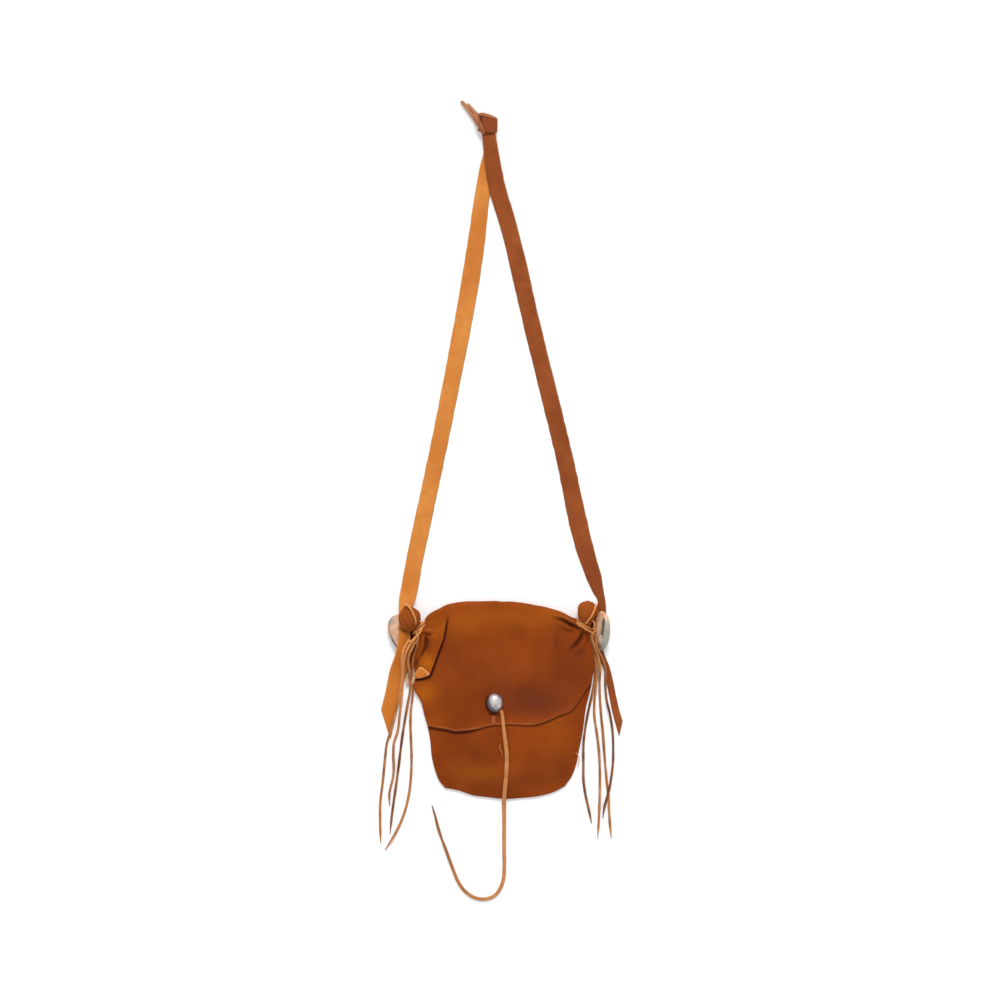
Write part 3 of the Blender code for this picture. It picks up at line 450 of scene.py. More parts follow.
# routes in millimetres, as the CAD has them; shade is the share of dark brown at the start, middle and end,
# light the share of the bright tone at the start, a third of the way and the end
laces = {
    "fringe_left_1": {"shade": (0.05, 0.55, 0.6), "light": (0.7, 0, 0), "route": (
        (-105, 67, 17), (-110.5, 57, 16.4), (-112.8, 46, 13.2), (-113, 31, 7.6), (-115.5, 6.6, 4.2),
        (-120, -13, 3.9), (-125.4, -33, 3.9), (-130, -48, 2.2), (-131.6, -61.6, 1.5), (-134.2, -88, 1.5),
        (-137.1, -113.3, 1.5), (-137.3, -134.2, 1.5), (-136.6, -157.3, 1.5))},
    "fringe_left_2": {"shade": (0.05, 0.5, 0.55), "light": (0.5, 0.1, 0), "route": (
        (-102, 65, 17), (-107.6, 55, 16), (-110.5, 44.5, 12.8), (-111.5, 29, 7), (-113.4, 5.5, 4.2),
        (-115.4, -13.2, 4.2), (-118.6, -36.3, 2.2), (-121.9, -46.2, 1.5), (-122.8, -58.9, 1.5),
        (-122.3, -75.4, 1.5), (-123, -84, 1.5), (-124.9, -92.4, 1.5), (-126.9, -101.2, 1.5),
        (-126.9, -116.1, 1.5))},
    "fringe_left_3": {"shade": (0.3, 0.9, 0.95), "route": (
        (-99, 63, 16), (-103.6, 54, 15.6), (-106.2, 46, 12.4), (-105.2, 35, 8.6), (-104.2, 22, 4.6),
        (-104.6, 9, 1.9), (-107, -4.4, 1.5), (-110.4, -24.2, 1.5), (-112.8, -39.6, 1.5), (-114.8, -55, 1.5),
        (-117.2, -74.8, 1.5), (-119.5, -92.4, 1.5), (-122.1, -110, 1.5), (-124.2, -125.4, 1.5),
        (-125.6, -138.6, 1.5), (-126.4, -147, 1.5))},
    "fringe_left_4": {"shade": (0.6, 0.5, 0.25), "route": (
        (-96.3, 61.4, 12), (-99.4, 52, 9.4), (-101.3, 42, 6.6), (-101.7, 26.4, 4.2), (-101.5, 5.5, 1.5),
        (-103.4, -11, 1.5), (-103.9, -28.6, 1.5), (-103.3, -45.1, 1.5), (-102.7, -63.8, 1.5),
        (-103.4, -84.7, 1.5), (-105.6, -103.4, 1.5), (-110.4, -123.2, 1.5), (-116.6, -138.6, 2.2),
        (-124.3, -152.9, 3), (-132, -165, 1.5))},
    "fringe_right_1": {"shade": (0.5, 0.9, 0.9), "route": (
        (94, 68.6, 9.5), (97.2, 58, 6.6), (99.2, 42, 4.6), (98, 20, 1.5), (94.9, 3, 1.5), (91.4, -13.2, 1.5),
        (88.3, -30.8, 1.5), (86.4, -47.3, 1.5), (86.2, -68.2, 1.5), (86.4, -89.1, 1.5), (88.6, -104.5, 1.5),
        (92.1, -119.9, 1.5), (95.3, -135.3, 1.5))},
    "fringe_right_2": {"shade": (0.4, 0.45, 0.3), "route": (
        (97.2, 68, 9.5), (100.2, 57, 7), (101.8, 42, 4.8), (100.4, 20, 1.5), (98.4, 0, 1.5),
        (98.3, -17.6, 1.5), (100.8, -35.2, 1.5), (103, -52.8, 1.5), (104.1, -70.4, 1.5),
        (104.3, -93.5, 1.5), (103.8, -115.5, 1.5), (103, -134.2, 1.5), (101.9, -151.8, 1.5))},
    "fringe_right_3": {"shade": (0.3, 0.55, 0.4), "route": (
        (95.8, 66.8, 12.5), (99.4, 56.5, 9.6), (102.8, 46, 8), (104.4, 36, 5), (103.9, 19.8, 1.6),
        (104.5, 0, 1.5), (105.8, -17.6, 1.5), (107.6, -35.2, 1.5), (109.2, -57.2, 1.5),
        (110.6, -74.8, 1.5), (112.2, -92.4, 1.5), (114, -107.8, 1.5), (114.6, -123.2, 1.5),
        (115.7, -138.6, 1.5), (117, -151.8, 1.5))},
    "fringe_right_4": {"shade": (0.5, 0.9, 0.9), "route": (
        (99, 67, 12.5), (101.8, 56.4, 11.4), (106.2, 47.4, 9.4), (109.8, 37, 6.2), (110.2, 17.6, 4.8),
        (111.8, 0, 4.4), (115.3, -15.4, 3.8), (118.1, -33, 2), (119, -52.8, 1.5), (118.6, -70.4, 1.7),
        (116.9, -84, 3.4), (114.6, -97, 4.8), (111.6, -108, 4.6), (109.4, -117, 2.4),
        (107.6, -129.8, 1.5))},
}
thong = {
    "width": 4.2, "thickness": 2.5, "lowered": 0.7,
    "shadeAt": (0, 0.55, 0.72, 1), "shade": (0.0, 0.05, 0.3, 0.8),
    "sizeAt": (0, 0.08, 0.3, 0.55, 0.68, 0.8, 0.87, 0.885, 0.9, 0.97, 1.0),
    "sizes": (0.9, 1.0, 1.06, 0.94, 0.86, 0.76, 0.7, 0.56, 0.68, 0.5, 0.2), "route": (
    (-4.8, -9.6, 18.4), (-3.6, -12.1, 19.6), (-2.4, -21, 19.5), (-1.6, -29, 19.4), (-0.4, -38.5, 17.6),
    (1.6, -56.1, 16.4), (1.4, -79.2, 14.1), (-0.1, -96, 10.5), (-0.9, -107, 6.6), (-1, -118, 3.4),
    (-0.9, -132, 2.2), (-1, -162.8, 2.2), (-0.8, -183.7, 2.2), (-1.6, -196, 2.2), (-4.6, -205.7, 2.2),
    (-9.8, -213.4, 2.2), (-16.8, -217.6, 2.2), (-24.9, -218.8, 2.2), (-33.2, -217.2, 2.2),
    (-40.3, -213.2, 2.2), (-46.4, -207.4, 2.2), (-51.7, -199.1, 2.2), (-56.6, -187.6, 2.2),
    (-61.3, -174.9, 2.2), (-65.4, -163.5, 2.2), (-69.9, -151.5, 2.2), (-73.7, -139.7, 2.2),
    (-77, -126.4, 2.2), (-80.4, -115.5, 2.2))}
laceShape = {"width": 2.9, "thickness": 2.0, "sides": 14, "step": 0.9, "squareness": 0.62, "fill": 0.93}


def laceBody(name, route, width, thickness, shade, seed, ends=(0.6, 0.35), onFloor=True, light=(0, 0, 0)):
    # a rounded rectangle carried along the route: its half width and half thickness swell a little with soft
    # noise and shrink at the ends, and it turns slowly
    length = pathLength(route)
    shares = np.linspace(0, 1, max(12, int(length / laceShape["step"])))
    centres = through(route, shares)
    if onFloor:
        centres[:, 2] = np.maximum(centres[:, 2], thickness / 2)
    distance = shares * length
    level = distance * 0
    swell = 1 + 0.13 * softField(distance, level + seed, 9, seed) \
        + 0.06 * softField(distance, level, 3, seed + 1)
    tip = np.minimum(ends[0] + (1 - ends[0]) * ease(distance / 2.5),
                     ends[1] + (1 - ends[1]) * ease((distance[-1] - distance) / 14))
    angle = np.linspace(0, 2 * math.pi, laceShape["sides"], endpoint=False)
    rings = ovalRings(centres, angle, laceShape["squareness"], width / 2 * swell * tip * laceShape["fill"],
                      thickness / 2 * (0.5 + 0.5 * swell) * tip * laceShape["fill"],
                      0.9 * softField(distance, level + 3 * seed, 45, seed + 2))
    brown = np.interp(shares, (0, 0.5, 1), shade) + 0.28 * softField(distance, level, 9, seed + 5)
    # one edge of the lace is darker than the other: painted shade
    darkToneAndShade = np.clip(brown[:, None] + 0.28 * np.cos(angle + 0.5)[None, :], 0, 1)
    pale = np.interp(shares, (0, 0.35, 1), light)[:, None] + 0 * darkToneAndShade
    made = ringBody(name, rings, cutLace, {"shade": darkToneAndShade * (1 - pale), "lightZone": pale})
    return made, centres


for number, (laceName, lace) in enumerate(laces.items()):
    piece, line = laceBody(laceName + "_lace", lace["route"], laceShape["width"], laceShape["thickness"],
                           lace["shade"], 11 + number, light=lace.get("light", (0, 0, 0)))
    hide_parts(laceName)


def makeThong():
    # the same profile as a lace, but its width runs from full at the button to a fine point
    shares = np.linspace(0, 1, 420)
    centres = through(thong["route"], shares)
    distance = shares * pathLength(thong["route"])
    level = distance * 0
    size = smoothValue(thong["sizeAt"], thong["sizes"], shares)
    size = size * (1 + 0.05 * softField(distance, level, 8, 41))
    angle = np.linspace(0, 2 * math.pi, 18, endpoint=False)
    centres[:, 2] -= thong["lowered"]
    thick = thong["thickness"] / 2 * (0.5 + 0.5 * size)
    rings = ovalRings(centres, angle, 0.6, thong["width"] / 2 * size, thick,
                      0.35 * softField(distance, level, 60, 43))
    brown = np.interp(shares, thong["shadeAt"], thong["shade"]) + 0.1 * softField(distance, level, 14, 45)
    # one edge of the thong is a little darker than the other: painted shade
    darkToneAndShade = np.clip(brown[:, None] + 0.1 * np.cos(angle)[None, :], 0, 1)
    made = ringBody("closure_thong_lace", rings, cutLace, {"shade": darkToneAndShade})
    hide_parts("closure_thong")


makeThong()
print("laces and thong laid")

# the bag's outlines in mm: fold and sides run on into the ties, where the hide is drawn together
bag = {
    "leather": 1.6, "clearance": 0.3, "depth": 12, "foldDepth": 10, "foldReach": 7, "foldPower": 0.32,
    "seamRise": 26, "acrossSteps": 196, "backRows": 34, "flapRows": 150, "foldSteps": 16,
    "swells": ((0.55, 34, 7), (0.28, 15, 8), (0.1, 6, 9)),
    # a darker tone in broad clouds, partly painted shade in the hollows below the right tie
    "darkToneAndShade": ((0.95, (30, 1), (40, 19), -0.15), (0.4, (70, 30), (26, 34)), (0.25, (-10, 35), (30, 20)),
             (0.3, (60, 66), (12, 9)), (0.55, (82, 52), (8, 6)), (0.2, (-60, 45), (14, 26))),
    "warm": ((0.7, (-88, 8), (12, 12), 0.6), (0.1, (-70, -18), (22, 9)), (0.4, (10, 92), (70, 13)),
             (0.2, (-50, 80), (24, 14))), "hollow": ((0.35, (56.3, 64.5), (2.4, 7)),),
    "bottom": ((-65, -96), (-50, -99), (-35, -104), (-20, -106), (2, -108), (17, -107), (36, -105),
               (54, -100), (65, -94)),
    "left": ((-65, -96), (-71, -89), (-75, -79), (-79, -64), (-81, -45), (-84, -28), (-87, -18), (-92, 0),
             (-98, 10), (-99, 33), (-99.2, 46), (-99.6, 58)),
    "right": ((65, -94), (72, -84), (77, -71), (80, -56), (84, -36), (88, -7), (93, 13), (95.6, 28),
              (98.6, 41), (100.2, 54)),
    "fold": ((-93, 77.5), (-88.4, 84), (-83.5, 88.4), (-74.5, 94.2), (-60.5, 100.2), (-48, 102.2),
             (-25, 102.3), (0, 102), (15, 100.8), (30, 98.8), (51, 95.2), (64, 91.4), (72, 87.6),
             (79, 84.8), (87, 81.5)),
    "flapEdge": ((-84, -28), (-73, -29.6), (-63, -31), (-54, -33), (-48, -32.6), (-42, -32), (-36, -31.2),
                 (-29, -30), (-20, -27.5), (-11, -26), (-4, -25.6), (3, -25.2), (18, -26), (34, -25.4),
                 (44, -22.5), (57.6, -16.7), (74, -9.5), (81.4, 0.6), (88.5, 11.4), (95, 21)),
    "flapLeft": ((-84, -28), (-87, -18), (-92, 0), (-98, 10), (-99, 33), (-99.2, 46), (-99.6, 58),
                 (-98.4, 68), (-93, 77.5)),
    "flapRight": ((95, 21), (96.1, 30), (98.6, 41), (100.2, 54), (97.6, 66), (93.4, 75), (87, 81.5)),
    "lapelLine": ((-98, 23), (-90, 24), (-82, 27.3), (-81, 28.4), (-76.2, 42), (-71.2, 56), (-66.6, 69),
                  (-64.4, 82), (-62.4, 92)),
}


def outline(points):
    return np.asarray(points, float) * stretch


def room(x, y):
    # room in the pouch: its depth times (1 - the share across to the power 2.4), times a rise that
    # saturates exponentially with the distance above the bottom seam
    left = smoothValue(outline(bag["left"])[:, 1], outline(bag["left"])[:, 0], y)
    right = smoothValue(outline(bag["right"])[:, 1], outline(bag["right"])[:, 0], y)
    bottom = smoothValue(outline(bag["bottom"])[:, 0], outline(bag["bottom"])[:, 1], x)
    across = np.clip(np.abs((2 * x - left - right) / (right - left)), 0, 1)
    rise = 1 - np.exp(-np.clip(y - bottom, 0, None) / bag["seamRise"])
    depth = bag["depth"] + (bag["foldDepth"] - bag["depth"]) * ease((y - 20) / 80)
    return depth * (1 - across ** 2.4) * rise


neckAxes = {"left": np.array([-0.69, 0.724]), "right": np.array([0.55, 0.835])}
ties = {"left": leftTie, "right": rightTie}
corners = {"left": outline([bag["fold"][0]])[0], "right": outline([bag["fold"][-1]])[0]}
# long creases that run out of the ties: path in mm, depth, width, and the height of the ridge beside each
creases = (
    {"path": ((80.5, 79.4), (76, 81.2), (70, 84.4), (64, 88), (57, 89.8),
              (48, 90.8)), "depth": 3.6, "width": 2.0,
     "ridge": 2.2},
    {"path": ((84, 74.5), (82.5, 68.5), (79.4, 64), (75.6, 59.8), (71, 55.4),
              (69, 50)), "depth": 3.4, "width": 2.4,
     "ridge": 1.8},
    {"path": ((86, 75), (89, 66), (90, 54), (88, 40)), "depth": 0.8, "width": 4.0, "ridge": 0.6},
    {"path": ((76, 77), (66, 76), (57, 74), (50, 71)), "depth": 1.2, "width": 4.0, "ridge": 0.6},
    {"path": ((-84, 74), (-74, 80), (-66, 88)), "depth": 1.2, "width": 2.6, "ridge": 0.6},
)


def pleats(x, y, side, height=1.5, reach=20):
    # ridges round a tie: |sin| of half the count times the angle, swung by soft noise, fading as a bell
    tie = ties[side]
    away = np.hypot(x - tie[0], y - tie[1])
    angle = np.arctan2(y - tie[1], x - tie[0])
    swing = 0.35 * softField(x, y, 14, 5)
    ridge = np.abs(np.sin(6.5 * angle + 1.3 + swing)) ** 0.8
    return height * ridge * np.exp(-(away / reach) ** 2) * (1 - np.exp(-(away / 4) ** 2))


def creaseField(x, y, lines, share=1.0):
    # each crease is a bell-shaped trough with a softer ridge beside it, fading along its path
    total = np.zeros(np.shape(x))
    for line in lines:
        away, along, side = distanceTo(outline(line["path"]), x, y)
        fade = ease((1 - along) * 1.6) * ease(0.25 + along * 4)
        trough = np.exp(-(away / line["width"]) ** 2)
        ridge = np.exp(-((away - 2.1 * line["width"]) / (1.5 * line["width"])) ** 2)
        total += fade * share * (line["ridge"] * ridge - line["depth"] * trough)
    return total


def tieFunnel(x, y):
    # share of the neck in the hide's height: a bell round each tie
    shares = []
    tops = []
    for side, tie in corners.items():
        away = np.hypot(x - tie[0], y - tie[1])
        across = neckAxes[side][1] * (x - tie[0]) - neckAxes[side][0] * (y - tie[1])
        shares.append(np.exp(-(away / 10) ** 2))
        tops.append(tieLevel + neckRadius * np.exp(-(across / 7) ** 2))
    return shares, tops


def flapTop(x, y):
    # leather and clearances, the pouch's room, soft swells, pleats and creases, then the neck's own top
    base = 3 * bag["leather"] + 2 * bag["clearance"] + room(x, y)
    soft = swells(x, y, bag["swells"])
    edge = ease(np.clip(base - 5.4, 0, 3) / 3)
    height = base + soft * (0.3 + 0.7 * edge) + pleats(x, y, "left") + pleats(x, y, "right")
    height += creaseField(x, y, creases)
    shares, tops = tieFunnel(x, y)
    for share, top in zip(shares, tops):
        height = (1 - share) * height + share * top
    return height


def makeHide():
    # rows run up the back, round the fold on half an ellipse, and down the flap
    across = denseSteps(bag["acrossSteps"], 0.5)
    fold = outline(bag["fold"])
    left = np.vstack([outline(bag["left"]), outline(bag["flapLeft"][-2:])])
    right = np.vstack([outline(bag["right"]), outline(bag["flapRight"][-3:])])
    back = patch(outline(bag["bottom"]), fold, left, right, across, np.linspace(0, 1, bag["backRows"]))
    flap = patch(outline(bag["flapEdge"]), fold, outline(bag["flapLeft"]), outline(bag["flapRight"]), across,
                 np.linspace(0, 1, bag["flapRows"]) ** 0.92)[::-1]
    leather = bag["leather"]
    backLevel = sum(share * (tieLevel - neckRadius) for share in tieFunnel(back[..., 0], back[..., 1])[0])
    x, y = flap[..., 0], flap[..., 1]
    edgeAway = distanceTo(outline(bag["flapEdge"]), x, y)[0]
    top = flapTop(x, y) + 1.7 * np.exp(-(edgeAway / 4) ** 2) * (0.7 + 0.4 * softField(x, y, 18, 21))
    flapOuter = np.dstack([flap, top])
    flapOuter[-1, :, 2] -= 0.45
    start = back[-1]
    low = backLevel[-1]
    high = flapTop(start[:, 0], start[:, 1])
    reach = bag["foldReach"] * np.sin(math.pi * across) ** bag["foldPower"]
    ripple = 0.35 * softField(start[:, 0], start[:, 1], 9, 31) * ease(reach / 7)

    def foldRows(out, thinner):
        turns = np.linspace(-math.pi / 2, math.pi / 2, bag["foldSteps"])[1:-1]
        half = (high - low) / 2 - thinner
        return [np.column_stack([start[:, 0], start[:, 1] + (reach + out) * math.cos(t),
                                 (low + high) / 2 + half * math.sin(t)]) for t in turns]

    outer = np.concatenate([np.dstack([back, backLevel]), foldRows(ripple, 0), flapOuter])
    inner = np.concatenate([np.dstack([back, backLevel + leather]), foldRows(-leather, leather),
                            np.dstack([flap, top - leather])])
    px, py = outer[..., 0], outer[..., 1]
    onFlap = np.zeros(px.shape)
    onFlap[len(back) + 4:] = 1
    # the flap's lower edge is paler: the cut edge's own colour, partly painted highlight where it catches the
    # light
    rim = np.zeros(px.shape)
    rim[-1] = (0.75 + 0.25 * softField(px[-1], py[-1], 8, 25)) * (0.35 + 0.65 * ease((60 - px[-1]) / 50))
    rim[-2] = 0.5 * rim[-1]
    # painted shade in the two creases at the right tie and in a dimple, and a painted shadow along the lapel,
    # with a painted highlight on the crest beside the first crease
    hollow, along, side = distanceTo(outline(creases[0]["path"]), px, py)
    shade = 0.85 * np.exp(-(hollow / 1.9) ** 2) * ease(1.9 * (1 - along))
    rim += 0.28 * np.exp(-((hollow - 3.8) / 1.8) ** 2) * (side < 0) * ease(2 * (1 - along)) * ease(4 * along)
    hollow, along = distanceTo(outline(creases[1]["path"]), px, py)[:2]
    beside = distanceTo(outline(bag["lapelLine"]), px, py)[0]
    for other in (0.8 * np.exp(-(hollow / 2.1) ** 2) * ease(1.8 * (1 - along)), spots(px, py, bag["hollow"]),
                  np.exp(-(beside / 1.9) ** 4) * ease((99 - py) / 18)):
        shade = np.maximum(shade, other)
    darkToneAndShade = np.clip(spots(px, py, bag["darkToneAndShade"]), 0, 1)
    warm = np.clip(spots(px, py, bag["warm"]), 0, 1)
    made = sheetBody("soft_hide", outer, inner, deerskin,
                     {"rim": rim * onFlap, "darkToneAndShadeZone": darkToneAndShade * onFlap, "warmZone": warm * onFlap,
                      "foldShade": shade * onFlap})
    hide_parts("back_and_flap")


makeHide()
print("back and flap laid")


pocket = {
    "foldTop": 102.3, "mouthDrop": 60, "middle": (0, -20.0), "columns": 170, "rows": 130,
    "outerRoll": ((0.45, 3.0), (0.3, 1.9), (0.1, 0.3)), "innerRoll": ((0.2, 1.8), (0.1, 1.0), (0.05, 0.3)),
    "swells": ((0.5, 30, 17), (0.25, 13, 18), (0.08, 5, 19)),
    "warm": ((0.05, (45, -45), (30, 24)), (0.1, (60, -5), (16, 30)), (0.3, (-25, -80), (30, 12))),
    "darkToneAndShade": ((0.4, (-38, -58), (16, 12)), (0.35, (60, -70), (14, 16)), (0.4, (10, -88), (50, 10))),
}


def pocketTop(x, y):
    base = 2 * bag["leather"] + bag["clearance"] + room(x, y)
    return base + swells(x, y, pocket["swells"]) * ease((base - 3.5) / 4)


def makePocket():
    # the patch between the seams and the mouth, with more rows round the seams that roll down over the back
    mouthLine = pocket["foldTop"] * stretch[1] + bag["foldReach"] - pocket["mouthDrop"]
    sides = []
    for key in ("left", "right"):
        edge = outline(bag[key])
        low = edge[edge[:, 1] < mouthLine - 6]
        x = smoothValue(edge[:, 1], edge[:, 0], mouthLine)
        sides.append(np.vstack([low, [(float(x), mouthLine)]]))
    mouth = np.array([sides[0][-1], (0, mouthLine - 5), sides[1][-1]])
    plan = patch(outline(bag["bottom"]), mouth, *sides, denseSteps(pocket["columns"]),
                 np.linspace(0, 1, pocket["rows"]))
    x, y = plan[..., 0], plan[..., 1]
    seamAway = np.min([distanceTo(seam, x, y)[0] for seam in (outline(bag["bottom"]), *sides)], axis=0)
    seamPull = 0.5 * np.exp(-(seamAway / 5) ** 2) * softField(x, y, 5.5, 23)
    top = pocketTop(x, y) + seamPull * ease(seamAway / 2)
    def roll(grid, drops):
        # adds rows below and columns at both sides, each pushed outwards and lowered
        for out, level in drops:
            row = grid[0].copy()
            way = row[:, :2] - pocket["middle"]
            row[:, :2] += way / np.linalg.norm(way, axis=1)[:, None] * out
            row[:, 2] = level
            grid = np.concatenate([[row], grid])
            for index in (0, -1):
                column = grid[:, index].copy()
                column[:, 0] += out if index else -out
                column[:, 2] = np.minimum(column[:, 2], level)
                grid = (np.concatenate([column[:, None], grid], axis=1) if index == 0
                        else np.concatenate([grid, column[:, None]], axis=1))
        return grid

    outer = roll(np.dstack([plan, top]), pocket["outerRoll"])
    inner = roll(np.dstack([plan, top - bag["leather"]]), pocket["innerRoll"])
    px, py = outer[..., 0], outer[..., 1]
    # painted shadow under the flap's edge, stronger and further from the edge at the left
    away = distanceTo(outline(bag["flapEdge"]), px, py)[0]
    leftShare = ease((-26 - px) / 14)
    line = (0.65 + 0.3 * leftShare) * np.exp(-((away - 2.4 * leftShare) / 1.5) ** 2)
    made = sheetBody("front_panel", outer, inner, deerskin,
                     {"rim": 0 * px, "darkToneAndShadeZone": np.clip(spots(px, py, pocket["darkToneAndShade"]), 0, 1),
                      "warmZone": np.clip(spots(px, py, pocket["warm"]), 0, 1), "foldShade": line})
    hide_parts("front_pocket")


makePocket()
print("front panel laid")

marginFolds = {
    "left": {"low": ((-107.6, 36), (-102, 35), (-97, 38)), "high": ((-108.5, 79.5), (-101, 80), (-94, 77)),
             "left": ((-107.6, 36), (-107.4, 48), (-106.6, 60), (-107, 70), (-108.5, 79.5)),
             "right": ((-97, 38), (-96.4, 50), (-95.4, 62), (-94, 77)), "base": 3, "rise": 6.5, "warm": 0.7,
             "shadeFrom": 69},
    "right": {"low": ((97, 41), (101, 39.5), (104.6, 42)), "high": ((90, 86), (95, 89), (101, 88)),
              "left": ((97, 41), (97.5, 50), (95, 66), (90, 86)),
              "right": ((104.6, 42), (104, 54), (102, 70), (101, 88)), "base": 1.2, "rise": 2.4, "warm": 0.1,
              "shadeFrom": 76},
}
marginCurl = {
    "low": ((-108.2, 15), (-104.5, 17), (-98.8, 19)), "high": ((-107, 47), (-102, 49), (-97, 48)),
    "left": ((-108.2, 15), (-109.2, 23), (-109, 34), (-107, 47)),
    "right": ((-98.8, 19), (-98.4, 28), (-98, 38), (-97, 48)),
}
lapel = {
    "columns": 90, "rows": 120, "hemColumns": 40, "hemRows": 26,
    "warm": ((0.75, (-86, 43), (8, 10), 0.3), (0.3, (-72, 80), (10, 10))),
    # hollow and broadHollow are painted shade beside the folds, crest is a painted highlight
    "hollow": ((0.75, (-97, 42), (2.6, 6), -0.3),), "broadHollow": ((0.55, (-84.2, 63), (2.8, 8), 0.05),),
    "crest": ((0.3, (-82.5, 77.6), (5, 1.8)),),
    "hem": ((-98, 24), (-90, 25), (-82, 28.2)),
    "turnLow": ((-98.4, 24.5), (-91, 25.4), (-82.6, 28.4)),
    "turnHigh": ((-98.2, 30), (-92.6, 36.8), (-82.4, 30.8)),
    "side": ((-98, 24), (-98.8, 36), (-99.2, 48), (-99.4, 60), (-98, 70), (-93.2, 77.2)),
    "free": ((-82, 28.2), (-77, 42), (-72, 56), (-67.2, 69), (-65, 82), (-62, 99.6)),
    "top": ((-93.2, 77.2), (-88.4, 83.6), (-83.5, 88.2), (-74.5, 94), (-62, 99.6)),
    "creases": ({"path": ((-86.5, 73), (-86, 65), (-87.2, 57), (-91.6, 49.5), (-96.8, 44)), "depth": 3.0,
                 "width": 1.9, "ridge": 1.8},
                {"path": ((-88.5, 73.6), (-83, 72.6), (-78, 73.4)), "depth": 2.6, "width": 1.5, "ridge": 1.6},
                {"path": ((-84, 70), (-79, 58), (-80, 44),
                          (-86, 34)), "depth": 0.8, "width": 4, "ridge": 0.8}),
}


def makeLapel():
    # the margin folded over the flap: a patch whose upper rows go on round the fold
    across = np.linspace(0, 1, lapel["columns"])
    up = np.linspace(0, 1, lapel["rows"])
    plan = patch(outline(lapel["hem"]), outline(lapel["top"]), outline(lapel["side"]), outline(lapel["free"]),
                 across, up)
    x, y = plan[..., 0], plan[..., 1]
    swell = 1.5 * np.sin(math.pi * across)[None, :] * np.sin(math.pi * up ** 0.8)[:, None]
    top = flapTop(x, y) + (bag["leather"] + bag["clearance"] + swell) * (1 - tieFunnel(x, y)[0][0])
    top += creaseField(x, y, lapel["creases"])
    freeAway = distanceTo(outline(lapel["free"]), x, y)[0]
    hemAway = distanceTo(outline(lapel["hem"]), x, y)[0]
    merge = (1 - ease((up - 0.68) / 0.22))[:, None]
    top += 1.8 * merge * np.exp(-(freeAway / 4) ** 2) + 1.6 * np.exp(-(hemAway / 6) ** 2)
    top -= (1 - merge) * 1.7 * ease((across - 0.35) / 0.55)[None, :]
    outer = np.dstack([plan, top])
    start = plan[-1]
    high = top[-1]
    along = np.linspace(0.02, 0.28, len(across))
    reach = bag["foldReach"] * np.sin(math.pi * along) ** bag["foldPower"] + 1.1 \
        - 1.7 * ease((across - 0.35) / 0.5)
    turns = np.linspace(math.pi / 2, -0.3, 9)[1:]
    foldRows = np.array([np.column_stack([start[:, 0], start[:, 1] + reach * math.cos(t) * ease(across * 3),
                                          high / 2 + (high / 2) * math.sin(t)]) for t in turns])
    outer = np.concatenate([outer, foldRows])
    shift = np.zeros(outer.shape)
    shift[..., 2] = -bag["leather"]
    shift[len(up):, :, 1] = -bag["leather"]
    shift[len(up):, :, 2] = 0
    # the hem row is paler, partly painted highlight
    rim = np.zeros(outer.shape[:2])
    rim[0] = 0.5
    px, py = outer[..., 0], outer[..., 1]
    # painted shade in the hollow inside the lower fold and in the two short creases
    shade = spots(px, py, lapel["hollow"])
    for line in lapel["creases"][:2]:
        away, share = distanceTo(outline(line["path"]), px, py)[:2]
        shade = np.maximum(shade, 0.8 * np.exp(-(away / 1.6) ** 2) * ease(3 * (1 - share)))
    # painted shade in the broad hollow right of the leaf-shaped fold, and a painted highlight on the crest
    # above the short crease
    shade = np.maximum(shade, spots(px, py, lapel["broadHollow"]))
    rim = np.maximum(rim, spots(px, py, lapel["crest"]))
    warm = np.clip(0.15 + spots(px, py, lapel["warm"]), 0, 1)
    made = sheetBody("left_lapel", outer, outer + shift, deerskin,
                     {"rim": rim, "darkToneAndShadeZone": 0 * px, "warmZone": warm, "foldShade": shade})
    makeTurnedHem(plan, top)


def makeTurnedHem(plan, top):
    # the lapel's lower edge turned up, flesh side out: a small patch laid on the lapel's own height
    across = np.linspace(0, 1, lapel["hemColumns"])
    up = np.linspace(0, 1, lapel["hemRows"])
    low = outline(lapel["turnLow"])
    high = outline(lapel["turnHigh"])
    laid = patch(low, high, (low[0], high[0]), (low[-1], high[-1]), across, up)
    rows = plan[:60].reshape(-1, 2)
    heights = top[:60].ravel()
    near = np.linalg.norm(laid[..., None, :] - rows, axis=-1).argmin(axis=-1)
    bulge = 0.3 + 1.3 * np.sin(math.pi * up)[:, None] ** 0.6
    level = heights[near] + bulge + 0.25 * softField(laid[..., 0], laid[..., 1], 4, 29)
    # the turned edge and its rim are paler: the cut edge's own colour, partly painted highlight
    rim = np.zeros(level.shape)
    rim[-5:] = np.array([0.2, 0.45, 0.8, 1, 1])[:, None]
    rim[:, -8:] = np.maximum(rim[:, -8:], np.linspace(0.2, 0.9, 8)[None, :])
    rim[:2] = 0.8
    made = laidSheet("turned_hem", laid, level, 1.1, fleshSide, {"rim": rim, "darkToneAndShadeZone": 0.7 + 0 * level})


